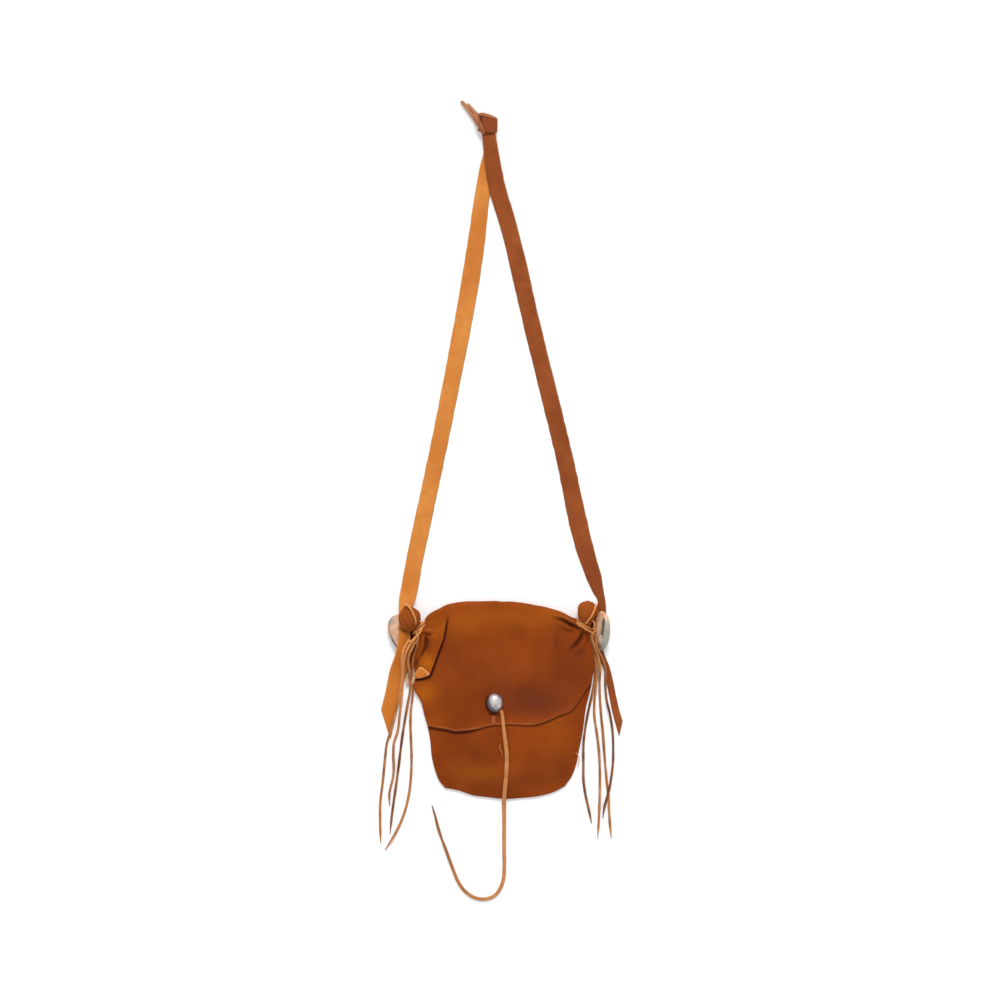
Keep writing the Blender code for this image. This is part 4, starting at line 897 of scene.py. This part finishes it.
def makeMarginFold(side):
    # the hide's margin drawn together below a tie: lengthwise rolls that run in to the knot
    facts = marginFolds[side]
    across = np.linspace(0, 1, 60)
    up = np.linspace(0, 1, 70)
    laid = patch(facts["low"], facts["high"], facts["left"], facts["right"], across, up)
    x, y = laid[..., 0], laid[..., 1]
    rolls = np.abs(np.sin(math.pi * (2.5 * across + 0.2)))[None, :] ** 0.7
    inward = across if side == "left" else 0.5 + 0 * across
    level = facts["base"] + facts["rise"] * ease(inward)[None, :] * (0.5 + 0.5 * up)[:, None] + 1.3 * rolls \
        + 0.4 * softField(x, y, 6, 39)
    # painted shade in the troughs between the rolls, and above shadeFrom in the crevice under the ear
    shade = np.clip(0.9 * (1 - rolls) ** 2 + 0.9 * ease((y - facts["shadeFrom"]) / 4), 0, 0.95)
    made = laidSheet("margin_fold_" + side, laid, level, 1.4, deerskin,
                     {"rim": 0 * x, "darkToneAndShadeZone": 0 * x, "warmZone": facts["warm"] + 0 * x, "foldShade": shade})


def makeMarginCurl():
    # the hide's left margin where it curls out beyond the seam, flesh side up, under the laces
    across = np.linspace(0, 1, 30)
    up = np.linspace(0, 1, 70)
    laid = patch(marginCurl["low"], marginCurl["high"], marginCurl["left"], marginCurl["right"], across, up)
    x, y = laid[..., 0], laid[..., 1]
    level = 1.4 + 4.2 * ease(across)[None, :] + 1.2 * np.exp(-(across / 0.2) ** 2)[None, :] \
        + 0.4 * softField(x, y, 7, 37)
    # a greyer patch, partly painted shade where the curl lies under the laces
    grey = bell(x, y, (-102, 38), (3.6, 9)) + 0.25 * softField(x, y, 4, 57)
    made = laidSheet("margin_curl", laid, level, 1.2, paleFlesh,
                     {"rim": 0 * x, "darkToneAndShadeZone": np.clip(grey, 0, 1)})


makeLapel()
for tieSide in ("left", "right"):
    makeMarginFold(tieSide)
makeMarginCurl()
print("lapel and margin laid")


ears = {
    "left": {"spine": ((1.5, -2.5, 0), (-1.4, 1.6, 0), (-4.4, 4.8, 2.4), (-7.6, 8.2, 10.4),
                       (-10.4, 13.4, 12.9), (-13.3, 21.5, 13), (-15, 27.4, 12.5)),
             "wide": (6, 6.2, 6.8, 11, 12.4, 9.6, 1.8), "high": (3.5, 3.6, 3.9, 4.6, 5.4, 4.6, 1.2),
             "count": 11, "depth": 0.26, "shade": 0.55},
    "right": {"spine": ((0.4, -6, 0), (2, -2.6, 0), (2.8, 2, 0.8), (3.4, 6.8, 1.8), (4.5, 13.2, 2.6),
                        (6.6, 20.4, 2.6), (8.4, 25.4, 2.5)),
              "wide": (6.4, 6.8, 7.4, 9.6, 11, 10, 3.4), "high": (3.4, 3.7, 4.6, 7.4, 9.4, 8.2, 1.3),
              "count": 8, "depth": 0.06, "shade": 0.25},
}
earShape = {"rings": 90, "sides": 120}
# where the left ear meets the margin; a painted shadow runs along it
earCrevice = ((-115, 81.6), (-110.5, 77.8), (-106.7, 75.6), (-99, 73.4))


def makeEar(side):
    # oval rings along the spine; each ring's radius is cut by |sin| flutes that run in to the neck
    ear = ears[side]
    spine = np.array(placed(ties[side], ear["spine"], tieLevel))
    shares = np.linspace(0, 1, earShape["rings"]) ** 0.9
    centres = through(spine, shares)
    keys = chordShares(spine)
    wide = smoothValue(keys, ear["wide"], shares)
    high = smoothValue(keys, ear["high"], shares)
    sideWay, upward = frameAlong(centres)
    angle = np.linspace(0, 2 * math.pi, earShape["sides"], endpoint=False)
    far = shares[:, None] + 0 * angle[None, :]
    swing = 0.5 * softField(far * 40, np.cos(angle)[None, :] * 9, 11, 51)
    flute = np.abs(np.sin(ear["count"] / 2 * angle[None, :] + swing)) ** 0.6
    fade = ear["depth"] * (1 - 0.8 * ease(shares * 1.5 - 0.45))[:, None]
    lump = 0.07 * softField(far * 30, np.sin(angle)[None, :] * 14, 8, 53)
    full = 1 - fade * (1 - flute) + lump
    a = wide[:, None] * full * np.cos(angle)[None, :]
    b = high[:, None] * full * np.sin(angle)[None, :]
    rings = ringsOn(centres, a, sideWay, b, upward)
    # painted shade in the hollows between the flutes
    shade = np.clip(ear["shade"] * (1 - flute) ** 2 * fade / ear["depth"], 0, 1)
    away = distanceTo(earCrevice, rings[..., 0], rings[..., 1])[0]
    shade = np.maximum(shade, 0.95 * np.exp(-(away / 1.5) ** 2))
    made = ringBody("ear_" + side + "_hide", rings, deerskin,
                    {"rim": 0.14 + 0 * shade, "darkToneAndShadeZone": 0 * shade, "warmZone": 0.2 + 0 * shade,
                     "foldShade": shade})


for tieSide in ("left", "right"):
    makeEar(tieSide)
print("ears gathered")


def strand(name, points, seed, width=2.7, shade=(0.1, 0.1, 0.1), light=0.0):
    # a short lace off the floor, as thick as it is wide up to the thickness of a lace
    return laceBody(name, points, width, min(width, 2.1), shade, seed, (0.8, 0.8), False, (light,) * 3)[0]


# each tie is a coil round the neck under crossing strands, a knot, and leads that run on into the laces
windings = {"left": {"spot": (-1.8, 2.6), "wide": 7.6, "turn": 0.3},
            "right": {"spot": (1.8, -2.4), "wide": 8.2, "turn": 2.0}}
for tieSide, facts in windings.items():
    turn = np.linspace(0, 2 * math.pi * 2.4, 90) + facts["turn"]
    drift = 2.3 * (turn - facts["turn"]) / (2 * math.pi) - 2.6
    lateral = (facts["wide"] + 0.25 * np.sin(2.3 * turn)) * np.cos(turn)
    axis = neckAxes[tieSide]
    spot = ties[tieSide] + facts["spot"]
    coil = np.column_stack([spot[0] + lateral * axis[1] + drift * axis[0],
                            spot[1] - lateral * axis[0] + drift * axis[1],
                            tieLevel + (neckRadius + 1.2) * np.sin(turn)])
    piece = strand("tie_" + tieSide + "_coil", coil, 61, 2.2)
    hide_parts("tie_" + tieSide)

crossings = {
    "left_a": ("left", 2.0, ((5.4, 10.2, 9), (3.6, 8.8, 12.6), (-1.6, 5.4, 14.6), (-6.6, 1.6, 14),
                             (-9.4, -0.8, 9))),
    "left_b": ("left", 1.9, ((5.4, 7.6, 9), (3.4, 5.6, 12.8), (-1, 1.6, 15.4), (-5.6, -2, 14),
                             (-8.4, -4, 9.6))),
    "left_c": ("left", 2.6, ((4.6, 7.4, 10), (2.2, 3.4, 14), (-0.8, -2.4, 16.8), (-4.4, -6.1, 18.4),
                             (-9, -10.6, 18.6))),
    "left_d": ("left", 2.2, ((-6, 0.4, 14), (-4, -2, 16.8), (-2, -5.2, 17.6), (-2.2, -8.6, 16.4))),
    "right_a": ("right", 1.9, ((-8.4, 7.2, 8), (-5.2, 5.6, 11.6), (-0.5, 4.2, 14.4), (3.9, 2.2, 14.8),
                               (8.4, 0.6, 11))),
    "right_b": ("right", 1.9, ((-8.8, 4.6, 8), (-6, 3.2, 11.8), (-1, 1.2, 15), (4.4, -2.2, 15.2),
                               (9, -4.6, 12.6))),
    "right_c": ("right", 2.1, ((-9, 2.6, 8), (-6.4, 1.4, 11.4), (-1.6, -1.2, 15), (4.8, -5.6, 15.6),
                               (9.4, -8, 15), (12, -8.4, 13.6))),
    "right_d": ("right", 2.1, ((5.6, 2.4, 12.6), (8.2, 5, 13.6), (11.2, 3.8, 14), (12.2, 0, 14.4),
                               (11.2, -4, 14.8), (9, -5.6, 15.4))),
    "right_e": ("right", 2.4, ((12.4, -3.4, 12), (13, -6.4, 14), (11, -8.2, 16.4), (9, -9.8, 14.6))),
}
lightStrands = ("left_a", "left_c", "right_c")
for number, (key, (tieSide, girth, steps)) in enumerate(crossings.items()):
    strand("tie_cross_" + key, placed(ties[tieSide], steps), 71 + number, girth,
           light=0.8 if key in lightStrands else 0.2)

leads = {
    "left_1": ((-5.4, -7, 18.6), (-10, -11.8, 18.4)), "left_2": ((-4.4, -7.2, 17.4), (-9.2, -12.8, 17.4)),
    "left_3": ((-2.2, -7.4, 16.4), (-5, -13, 16)), "left_4": ((-1.8, -7, 15), (-3, -13, 12.8)),
    "right_1": ((9.6, -8.6, 12.6), (8.8, -12.4, 10.8)), "right_2": ((11, -9, 12.6), (11.4, -13.6, 10.6)),
    "right_3": ((10.4, -9, 15.4), (10, -13, 13.6)), "right_4": ((12, -8.6, 14.8), (12.8, -13, 13.6)),
}
for number, (key, steps) in enumerate(leads.items()):
    lace = laces["fringe_" + key]
    points = placed(ties[key.split("_")[0]], steps) + list(lace["route"][:2])
    points[-1] = tuple(0.6 * np.array(points[-2]) + 0.4 * np.array(points[-1]))
    # leads 3 and 4 run under the others and are darkened there as painted shade
    near = 0.5 if key in ("left_3", "left_4") else lace["shade"][0]
    strand("lead_" + key, points, 81 + number, 2.6, (near,) * 3, 0.7 if number < 2 else 0.1)
print("ties wound")

earLaces = {
    "left": ((-18.4, 27.6, 22), (-16.4, 29.2, 25), (-13.2, 28.6, 27.8), (-10.2, 25.2, 28.6),
             (-7.2, 19.6, 28.4), (-5, 14.4, 27), (-4.4, 9.6, 23.6), (-5, 5, 18), (-7.4, 1.6, 15)),
    "right": ((14.2, 22.6, 13), (13.4, 20.4, 17.6), (11.4, 14.8, 20.4), (8.8, 9.6, 20.6), (5.8, 5.6, 18.6),
              (3, 1.6, 16.4)),
}
for tieSide, steps in earLaces.items():
    piece = strand("ear_lace_" + tieSide + "_lace", placed(ties[tieSide], steps), 91, 2.0, light=1.0)
    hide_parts("ear_lace_" + tieSide)


def strapBody(name, route, widths, ways, thickness, material, attributes, count, curl=0.25, seed=3,
              hollows=(), tail=(2, 3)):
    # a flat profile with rounded edges carried along the route; its width follows the given ways and its
    # edges lift and dip a little with soft noise; attributes are places along it and the darker tone at each,
    # partly painted shade
    shares = np.linspace(0, 1, count)
    centres = through(route, shares)
    keys = chordShares(route)
    half = smoothValue(keys, widths, shares) / 2
    way = np.column_stack([smoothValue(keys, column, shares) for column in np.asarray(ways, float).T])
    way /= np.linalg.norm(way, axis=1)[:, None]
    tangent = np.gradient(centres, axis=0)
    tangent /= np.linalg.norm(tangent, axis=1)[:, None]
    upward = np.cross(way, tangent)
    upward /= np.linalg.norm(upward, axis=1)[:, None]
    over = np.linspace(-1, 1, 15)
    edgeDrop = (1 - np.abs(over) ** 10) ** 0.5
    topProfile = np.column_stack([over, edgeDrop * thickness / 2])
    profile = np.concatenate([topProfile, (topProfile * [1, -1])[-2:0:-1]])
    distance = shares * pathLength(route)
    wave = curl * softField(*np.broadcast_arrays(distance[:, None], 6 * profile[None, :, 0]), 16, seed)
    edge = half * (1 + 0.03 * softField(distance, distance * 0, 7, seed + 1))
    across = edge[:, None] * profile[None, :, 0]
    lift = profile[None, :, 1] + wave
    rings = ringsOn(centres, across, way, lift, upward)
    rings[..., 2] = np.maximum(rings[..., 2], 0.02)
    # the pale edges are partly the cut edge's colour and partly painted highlight
    rim = np.clip((np.abs(profile[:, 0]) - 0.93) / 0.07, 0, 1)[None, :] * np.ones(count)[:, None]
    darkToneAndShade = np.interp(shares, *attributes)[:, None] + 0 * rim
    shade = 0 * rim
    # painted shade in the hollows, such as under the ear and under the knot's wrap
    for value, middle, sizes, turned in hollows:
        shade = np.maximum(shade, value * bell(rings[..., 0], rings[..., 1], middle, sizes, turned))
    tan = ease((shares - tail[0]) / (tail[1] - tail[0]))[:, None] + 0 * rim
    return ringBody(name, rings, material, {"rim": 0.8 * rim * (1 - tan), "darkToneAndShadeZone": darkToneAndShade * (1 - tan),
                                            "tailZone": 0.9 * tan, "foldShade": shade})


def planWays(route):
    tangent = np.gradient(np.asarray(route, float), axis=0)
    ways = np.column_stack([tangent[:, 1], -tangent[:, 0], np.zeros(len(tangent))])
    return ways / np.linalg.norm(ways, axis=1)[:, None]


def cutStrap(made, corner, tip, keep):
    # slanting cut through a tail's corner and tip, its end closed again
    corner = np.asarray(corner, float) * mm
    tip = np.asarray(tip, float) * mm
    way = np.append(tip - corner, 0) / np.linalg.norm(tip - corner)
    work = bmesh.new()
    work.from_mesh(made.data)
    cut = bmesh.ops.bisect_plane(work, geom=work.verts[:] + work.edges[:] + work.faces[:], dist=1e-7,
                                 plane_co=(*corner, 0), plane_no=np.cross(way, (0, 0, 1)) * keep,
                                 clear_outer=True)
    edges = [item for item in cut["geom_cut"] if isinstance(item, bmesh.types.BMEdge)]
    bmesh.ops.contextual_create(work, geom=edges)
    bmesh.ops.recalc_face_normals(work, faces=work.faces)
    work.to_mesh(made.data)
    work.free()


straps = {
    "width": 18.5, "leather": 1.8, "bunch": 9,
    "leftTie": ((-43.6, -130, 0), (-38, -103, 0), (-34.6, -87.5, 0), (-29.2, -66, 0.3), (-24.6, -46, 3),
                (-20.5, -33, 7.6), (-18, -21, 11.2), (-17.1, -8, 12.2), (-17, 7, 12.2), (-17, 17, 11.4),
                (-16.4, 24, 9.6), (-14.9, 32, 6.6), (-12, 46, 2), (-6.5, 77, 0), (0.5, 110, 0)),
    "leftKnot": ((-46, -315, 0), (-11, -117, 0), (-7, -84, 0), (-1, -46, 0), (2.6, -28, 0.4), (2.4, -14, 1.8),
                 (-1.6, 0, 2.2), (-9, 7.4, 1.8), (-15.6, 14, 1.8), (-22.4, 22.4, 0.8)),
    "leftWidths": (0.94, 0.94, 0.94, 0.96, 1, 0.96, 0.84, 0.72, 0.7, 0.7, 0.78, 0.94, 1, 1, 1, 1, 1, 0.92,
                   0.8, 0.7, 0.6, 0.45, 0.32, 0.26, 0.2),
    # darker near the tie as painted shadow of the ear over a darker tone, and painted shade in the crevice
    # under the ear
    "leftDarkToneAndShade": ((0, 0.1, 0.13, 0.17, 0.2, 0.6, 1), (0.8, 0.6, 0.9, 0.9, 0.2, 0, 0.1)),
    "leftHollows": ((0.9, (-109.4, 76.6), (9, 1.8), -0.48), (0.35, (-106, 70), (5, 9), 0)),
    "leftCut": ((-43.2, -87.4), (-33.2, -119.2)),
    "rightTie": ((47, -130, 0), (42.2, -115, 0), (36.2, -94, 0), (33, -79, 0), (29.6, -62, 0),
                 (26, -47, 0), (19, -31, 0), (20, -8, 0), (19.5, 11.5, 0), (20.7, 26, 0), (17, 37, 0),
                 (13, 50, 0), (6, 71, 0), (-22, 192, 0)),
    "rightBunch": (1, 1, 0.88, 0.82, 0.84, 0.76, 0.95, 1.4, 1.4, 0.97),
    "rightWidths": (0.65, 0.88, 1, 1, 1, 1, 1, 0.95, 0.88, 0.82, 0.78),
    "rightCut": ((43.8, -106.5), (40.3, -123)),
    "rightKnot": ((50, -226, 0), (21, -105, 0), (10, -68, 2.1), (5.4, -43, 2.3), (3.4, -28, 3.2),
                  (1.6, -14, 4.4), (0, -2, 4.6)),
}

# each piece's hollows are painted shade in the creases and under the edges of the knot
knot = {
    "strap_knot_wrap": {
        "route": ((-4, -0.5, 0.9), (2, -1, 0.9), (7.6, -1, 0.9), (9.8, -1.4, 3.6), (8.6, -1.6, 6.8),
                  (1, -0.6, 7.3), (-4.6, 0.8, 6.9), (-7.8, 1.6, 5.2), (-8.2, 1.8, 3)),
        "widths": (16, 16, 15.8, 16.4, 17.4, 19, 20.4, 20.6, 19.6),
        "ways": ((0, 1, 0), (0, 1, 0), (0, 1, 0), (0.02, 1, 0), (0.05, 1, 0), (0.12, 1, 0), (0.2, 1, 0),
                 (0.24, 1, 0), (0.24, 1, 0)),
        "darkToneAndShade": (0.75, 0.6), "count": 220, "seed": 23, "tail": (2, 3),
        "hollows": ((0.6, (-7.5, 4), (1.2, 9), 0.2),)},
    "strap_knot_strip": {
        "route": ((-13.6, 10.6, 3.4), (-12, 6.2, 6.4), (-10, 0.8, 7.8), (-7, -5.2, 8.4), (-4.2, -11.6, 6)),
        "widths": (4.6, 5.4, 5.6, 5.2, 3.4), "darkToneAndShade": (0.1, 0.2), "count": 90, "seed": 24, "tail": (1.6, -0.8),
        "hollows": ((0.5, (-9.6, 2), (1.2, 8), 0.1),)},
    "strap_knot_tail": {
        "route": ((-9.8, -1, 3.6), (-14.2, 6.2, 3.4), (-19.2, 13.4, 3.2), (-24.2, 19.8, 2.8),
                  (-29.2, 25.4, 2.2)),
        "widths": (5.2, 5, 4.8, 4.4, 3.4), "darkToneAndShade": (0.0, 0.0), "count": 90, "seed": 25, "tail": (-2, -1),
        "hollows": ((0.8, (-16.6, 13.5), (1.0, 6), 0.66),)},
    "strap_knot_ridge": {
        "route": ((-10.8, 10, 6.2), (-6, 10.2, 7.6), (0, 8.8, 8), (6, 7, 7.6), (9.4, 5.8, 6.2)),
        "widths": (2.8, 3.6, 3.4, 2.8, 2.0), "darkToneAndShade": (0.0, 0.3), "count": 70, "seed": 26, "tail": (-1, 1.5),
        "hollows": ()},
}


def makeStraps():
    full = straps["width"]
    lifted = straps["leather"] / 2
    route = placed(leftTie, straps["leftTie"], lifted) + placed(knotPlace, straps["leftKnot"], lifted)
    made = strapBody("strap_left_band", route, np.array(straps["leftWidths"]) * full, planWays(route),
                     straps["leather"], fleshSide, straps["leftDarkToneAndShade"], 620, hollows=straps["leftHollows"],
                     tail=(0.955, 0.97))
    cutStrap(made, leftTie + straps["leftCut"][0], leftTie + straps["leftCut"][1], 1)
    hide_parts("strap_left")
    route = placed(rightTie, straps["rightTie"], lifted) + placed(knotPlace, straps["rightKnot"], lifted)
    widths = [w * straps["bunch"] for w in straps["rightBunch"]] + [w * full for w in straps["rightWidths"]]
    # painted shadow on the right strap under the lower edge of the knot's wrap
    made = strapBody("strap_right_band", route, widths, planWays(route), straps["leather"], grainSide,
                     ((0, 0.2, 0.3, 0.7, 1), (0.2, 0.5, 0.3, 0.1, 0.2)), 600, seed=13,
                     hollows=((1.0, knotPlace + [-0.5, -11.6], (9, 1.6), 0.08),))
    cutStrap(made, rightTie + straps["rightCut"][0], rightTie + straps["rightCut"][1], -1)
    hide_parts("strap_right")


def makeKnot():
    # the right strap goes once round both and comes down as a strip; two narrow tails point to the left
    for name, facts in knot.items():
        route = placed(knotPlace, facts["route"])
        hollows = [(value, knotPlace + spot, *rest) for value, spot, *rest in facts["hollows"]]
        ways = facts.get("ways", planWays(route))
        made = strapBody(name, route, facts["widths"], ways, straps["leather"], grainSide,
                         ((0, 1), facts["darkToneAndShade"]), facts["count"], 0.35, facts["seed"], hollows, facts["tail"])


makeStraps()
makeKnot()
print("straps and knot laid")

shells = {
    "length": 46, "width": 23, "thickness": 12, "slot": 2.6, "rings": 110, "sides": 180, "toothWaves": 62,
    "left": {"spot": (-22.1, -4.2, 0.0), "heading": 12, "roll": 0, "slotTurn": 52, "slotReach": 0.9,
             "slotMiddle": 0, "egg": 0.34},
    "right": {"spot": (20.1, -6.8, 2.1), "heading": -2, "roll": 48, "slotTurn": 66, "slotReach": 0.44,
              "slotMiddle": 0.18, "egg": 0.02},
}


def makeShell(side):
    # egg-shaped rings, flatter on top, with a bell-shaped groove whose rims carry teeth
    facts = shells[side]
    along = -np.cos(np.linspace(0.05, math.pi - 0.05, shells["rings"]))
    angle = np.linspace(0, 2 * math.pi, shells["sides"], endpoint=False)
    girth = np.sqrt(1 - along ** 2) * (1 + facts["egg"] * along)
    off = np.angle(np.exp(1j * (angle - math.radians(facts["slotTurn"]))))
    fade = ease((facts["slotReach"] + 0.12 - np.abs(along - facts["slotMiddle"])) / 0.24)[:, None]
    bend = off[None, :] + 0.3 * along[:, None]
    tooth = np.cos(along * shells["toothWaves"])[:, None]
    groove = np.exp(-(bend / (0.17 + 0.06 * tooth)) ** 2) * fade
    teeth = np.exp(-((np.abs(bend) - 0.26) / 0.13) ** 2) * fade * (0.5 + 0.5 * tooth)
    lips = np.exp(-((np.abs(bend) - 0.5) / 0.22) ** 2) * fade
    upShare = np.where(np.sin(angle) > 0, 0.4, 0.6)
    across = girth[:, None] * (shells["width"] / 2 * np.cos(angle))[None, :]
    upward = girth[:, None] * (shells["thickness"] * upShare * np.sin(angle))[None, :]
    upward = upward - 1.3 * shells["slot"] * groove + 0.6 * teeth + 0.5 * lips
    length = along[:, None] * np.ones(len(angle))[None, :] * (shells["length"] - 2.4) / 2
    roll = math.radians(facts["roll"])
    heading = math.radians(facts["heading"])
    across, upward = (across * math.cos(roll) - upward * math.sin(roll),
                      across * math.sin(roll) + upward * math.cos(roll))
    x = ties[side][0] + facts["spot"][0] + across * math.cos(heading) - length * math.sin(heading)
    y = ties[side][1] + facts["spot"][1] + across * math.sin(heading) + length * math.cos(heading)
    z = facts["spot"][2] + upward - upward.min()
    blotch = softField(x, y, 5, 55)
    if side == "right":
        backShare = ease((0.1 - off) / 0.3)[None, :] * ease((0.75 - along) / 0.5)[:, None]
        backShare = backShare * (0.85 + 0.15 * blotch)
        edge = bell(x, y, (103, 60), (3.4, 7), 0.35)
    else:
        backShare = 0.7 * bell(x, y, (-124.5, 87.5), (5, 4)) + 0.15 * blotch
        lower = 0.35 + 0.65 * ease((0.2 - along) / 0.5)
        edge = ease((-np.cos(angle) - 0.66) / 0.18)[None, :] * lower[:, None]
    made = ringBody("shell_" + side + "_body", np.dstack([x, y, z]), shellGloss,
                    {"backShare": np.clip(backShare, 0, 1), "edgeShade": edge,
                     "slotShade": np.clip(groove + 0.25 * teeth, 0, 1) ** 0.6})
    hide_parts("shell_" + side)


for tieSide in ("left", "right"):
    makeShell(tieSide)
print("shells placed")

button = {
    "spot": (-11.5, -1.5), "width": 20, "length": 23, "height": 8.5, "seatReach": 11,
    "shank": 2.2, "shankLevels": (0.16, 0.05, 0.0),
    "profile": ((0.0, 1.0), (0.15, 0.993), (0.3, 0.965), (0.45, 0.91), (0.58, 0.83), (0.7, 0.72), (0.8, 0.59),
                (0.88, 0.45), (0.94, 0.3), (0.965, 0.2), (0.985, 0.16), (1.0, 0.1), (0.99, 0.03), (0.96, 0.0),
                (0.9, 0.0), (0.84, 0.06), (0.6, 0.14), (0.4, 0.16)),
}


def seatHeight(spot, reach):
    # the flap's highest place within reach of the spot
    angle = np.linspace(0, 2 * math.pi, 16)
    x = spot[0] + reach * np.outer((0, 0.5, 1), np.cos(angle))
    y = spot[1] + reach * np.outer((0, 0.5, 1), np.sin(angle))
    return float(flapTop(x, y).max()) + 0.1


def makeButton():
    # the profile is turned about an upright axis and squeezed to an oval; soft noise dents it
    steps = through([(out, up, 0) for out, up in button["profile"]], np.linspace(0, 1, 90))
    angle = np.linspace(0, 2 * math.pi, 96, endpoint=False)
    radius = np.maximum(steps[:, 0], 0.01)
    x0, y0 = button["spot"]
    seat = seatHeight(button["spot"], button["seatReach"])
    x = x0 + radius[:, None] * button["width"] / 2 * np.cos(angle)[None, :]
    y = y0 + radius[:, None] * button["length"] / 2 * np.sin(angle)[None, :]
    dent = 0.12 * softField(x, y, 4, 33) * (steps[:, 1] > 0.3)[:, None]
    dome = np.dstack([x, y, seat + steps[:, 1][:, None] * button["height"] + dent])
    shank = [np.column_stack([x0 + button["shank"] * np.cos(angle), y0 + button["shank"] * np.sin(angle),
                              np.full(len(angle), seat + level * button["height"])])
             for level in button["shankLevels"]]
    rings = np.concatenate([dome, shank])
    px, py = rings[..., 0], rings[..., 1]
    # painted dark reflection on the left and lower side of the dome, and a painted dark spot of reflection
    # below its top
    darkReflection = ease((-1.2 - (px - x0) - 0.4 * (py - y0)) / 5) + 0.8 * ease((-3.2 - (py - y0)) / 4) \
        + 0.9 * bell(px, py, (-10, -4.5), (1.5, 1.3))
    made = ringBody("button_dome", rings, nickelSilver, {"paintedDarkReflection": np.clip(darkReflection, 0, 1)})
    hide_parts("button")


makeButton()

keeper = {"width": 5.5, "from": 9, "reach": 23.5, "leather": 1.2, "columns": 14, "rows": 60}


def makeKeeper():
    # a narrow doubled strip that follows the flap's own height
    y = button["spot"][1] - np.linspace(keeper["from"], keeper["reach"], keeper["rows"])
    x = button["spot"][0] - 1.2 + np.linspace(-0.5, 0.5, keeper["columns"]) * keeper["width"]
    gx, gy = np.meshgrid(x, y)
    gx = gx + 0.3 * softField(gx, gy, 6, 35)
    edge = 1 - np.abs(np.linspace(-1, 1, keeper["columns"]))[None, :] ** 8
    outer = np.dstack([gx, gy, flapTop(gx, gy) + 0.2 + keeper["leather"] * (0.4 + 0.6 * edge)])
    inner = np.dstack([gx, gy, flapTop(gx, gy) + 0.1])
    # painted shadow under the button at the top of the strip, and painted shade along its left edge
    shade = 0.95 * ease((gy + 17) / 3) + 0.6 * np.exp(-((gx - gx.min()) / 1.1) ** 2)
    made = sheetBody("keeper_strip", outer, inner, grainSide,
                     {"rim": 0.1 + 0 * gx, "darkToneAndShadeZone": 0 * gx, "foldShade": np.clip(shade, 0, 1)})
    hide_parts("thong_keeper")


makeKeeper()

slitCurl = ((-5.4, -47, 0.9), (-5.8, -51, 1.3), (-4.6, -54.5, 2), (-3, -57, 1.9), (-3.6, -59.4, 1.2))
curlPoints = [(x, y, float(pocketTop(np.array(x), np.array(y))) + z) for x, y, z in slitCurl]
piece = strand("slit_knot_curl", curlPoints, 95, 1.5, (0.6, 0.3, 0.5))
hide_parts("slit_knot")
seamThread = ((77.5, -57, 4.4), (79.8, -60, 5), (81.4, -63.5, 4.6), (81, -68.8, 3.6), (79.4, -73.2, 3))
strand("seam_thread", seamThread, 97, 0.85, (0.2, 0.0, 0.3), 0.6)
print("button, keeper, slit knot and seam thread set")


def rayShare(tree, *kinds):
    # one for rays of any of the kinds
    rays = addNode(tree, "ShaderNodeLightPath").outputs
    share = rays[kinds[0]]
    for kind in kinds[1:]:
        share = math2(tree, "MAXIMUM", share, rays[kind])
    return share


def makeLights():
    # white wherever the camera looks past the floor, and weaker where it lights the bag
    world = bpy.data.worlds.new("studio")
    bpy.context.scene.world = world
    world.use_nodes = True
    tree = world.node_tree
    shader = tree.nodes["Background"]
    seen = rayShare(tree, "Is Camera Ray", "Is Transmission Ray", "Is Glossy Ray")
    shader.inputs["Color"].default_value = (1, 1, 1, 1)
    tree.links.new(rangeOf(tree, seen, 0, 1, 0.6, 1.0), shader.inputs["Strength"])
    # a wide light from above the knot, and a weaker one from the left
    for name, way, power, spread in (("key", (0.1, 1.0, 1.0), 1.9, 16), ("fill", (-0.8, -0.2, 1.0), 0.2, 60)):
        data = bpy.data.lights.new(name, "SUN")
        data.energy = power
        data.angle = math.radians(spread)
        made = newObject(name, data)
        made.location = way
        flat = math.hypot(way[0], way[1])
        made.rotation_euler = (math.atan2(flat, way[2]), 0, math.atan2(way[0], -way[1]))


def makeFloor():
    # pale board; for the camera a little light of its own carries it to white and leaves the soft shadow
    material, tree, shader = newMaterial("paleBoard")
    seen = rayShare(tree, "Is Camera Ray", "Is Transmission Ray")
    settings = {"Base Color": (0.86, 0.86, 0.86, 1), "Roughness": 0.9, "Emission Color": (1, 1, 1, 1),
                "Emission Strength": rangeOf(tree, seen, 0, 1, 0.0, 0.2)}
    for key, value in settings.items():
        feed(tree, shader.inputs[key], value)
    mesh = bpy.data.meshes.new("floor")
    half, level = 6, -0.0002  # metres
    corners = [(x * half, y * half, level) for x, y in ((-1, -1), (1, -1), (1, 1), (-1, 1))]
    mesh.from_pydata(corners, [], [(0, 1, 2, 3)])
    mesh.materials.append(material)
    made = newObject("floor", mesh)


makeLights()
makeFloor()
bpy.context.scene.view_settings.view_transform = "Standard"

print("scene ready")
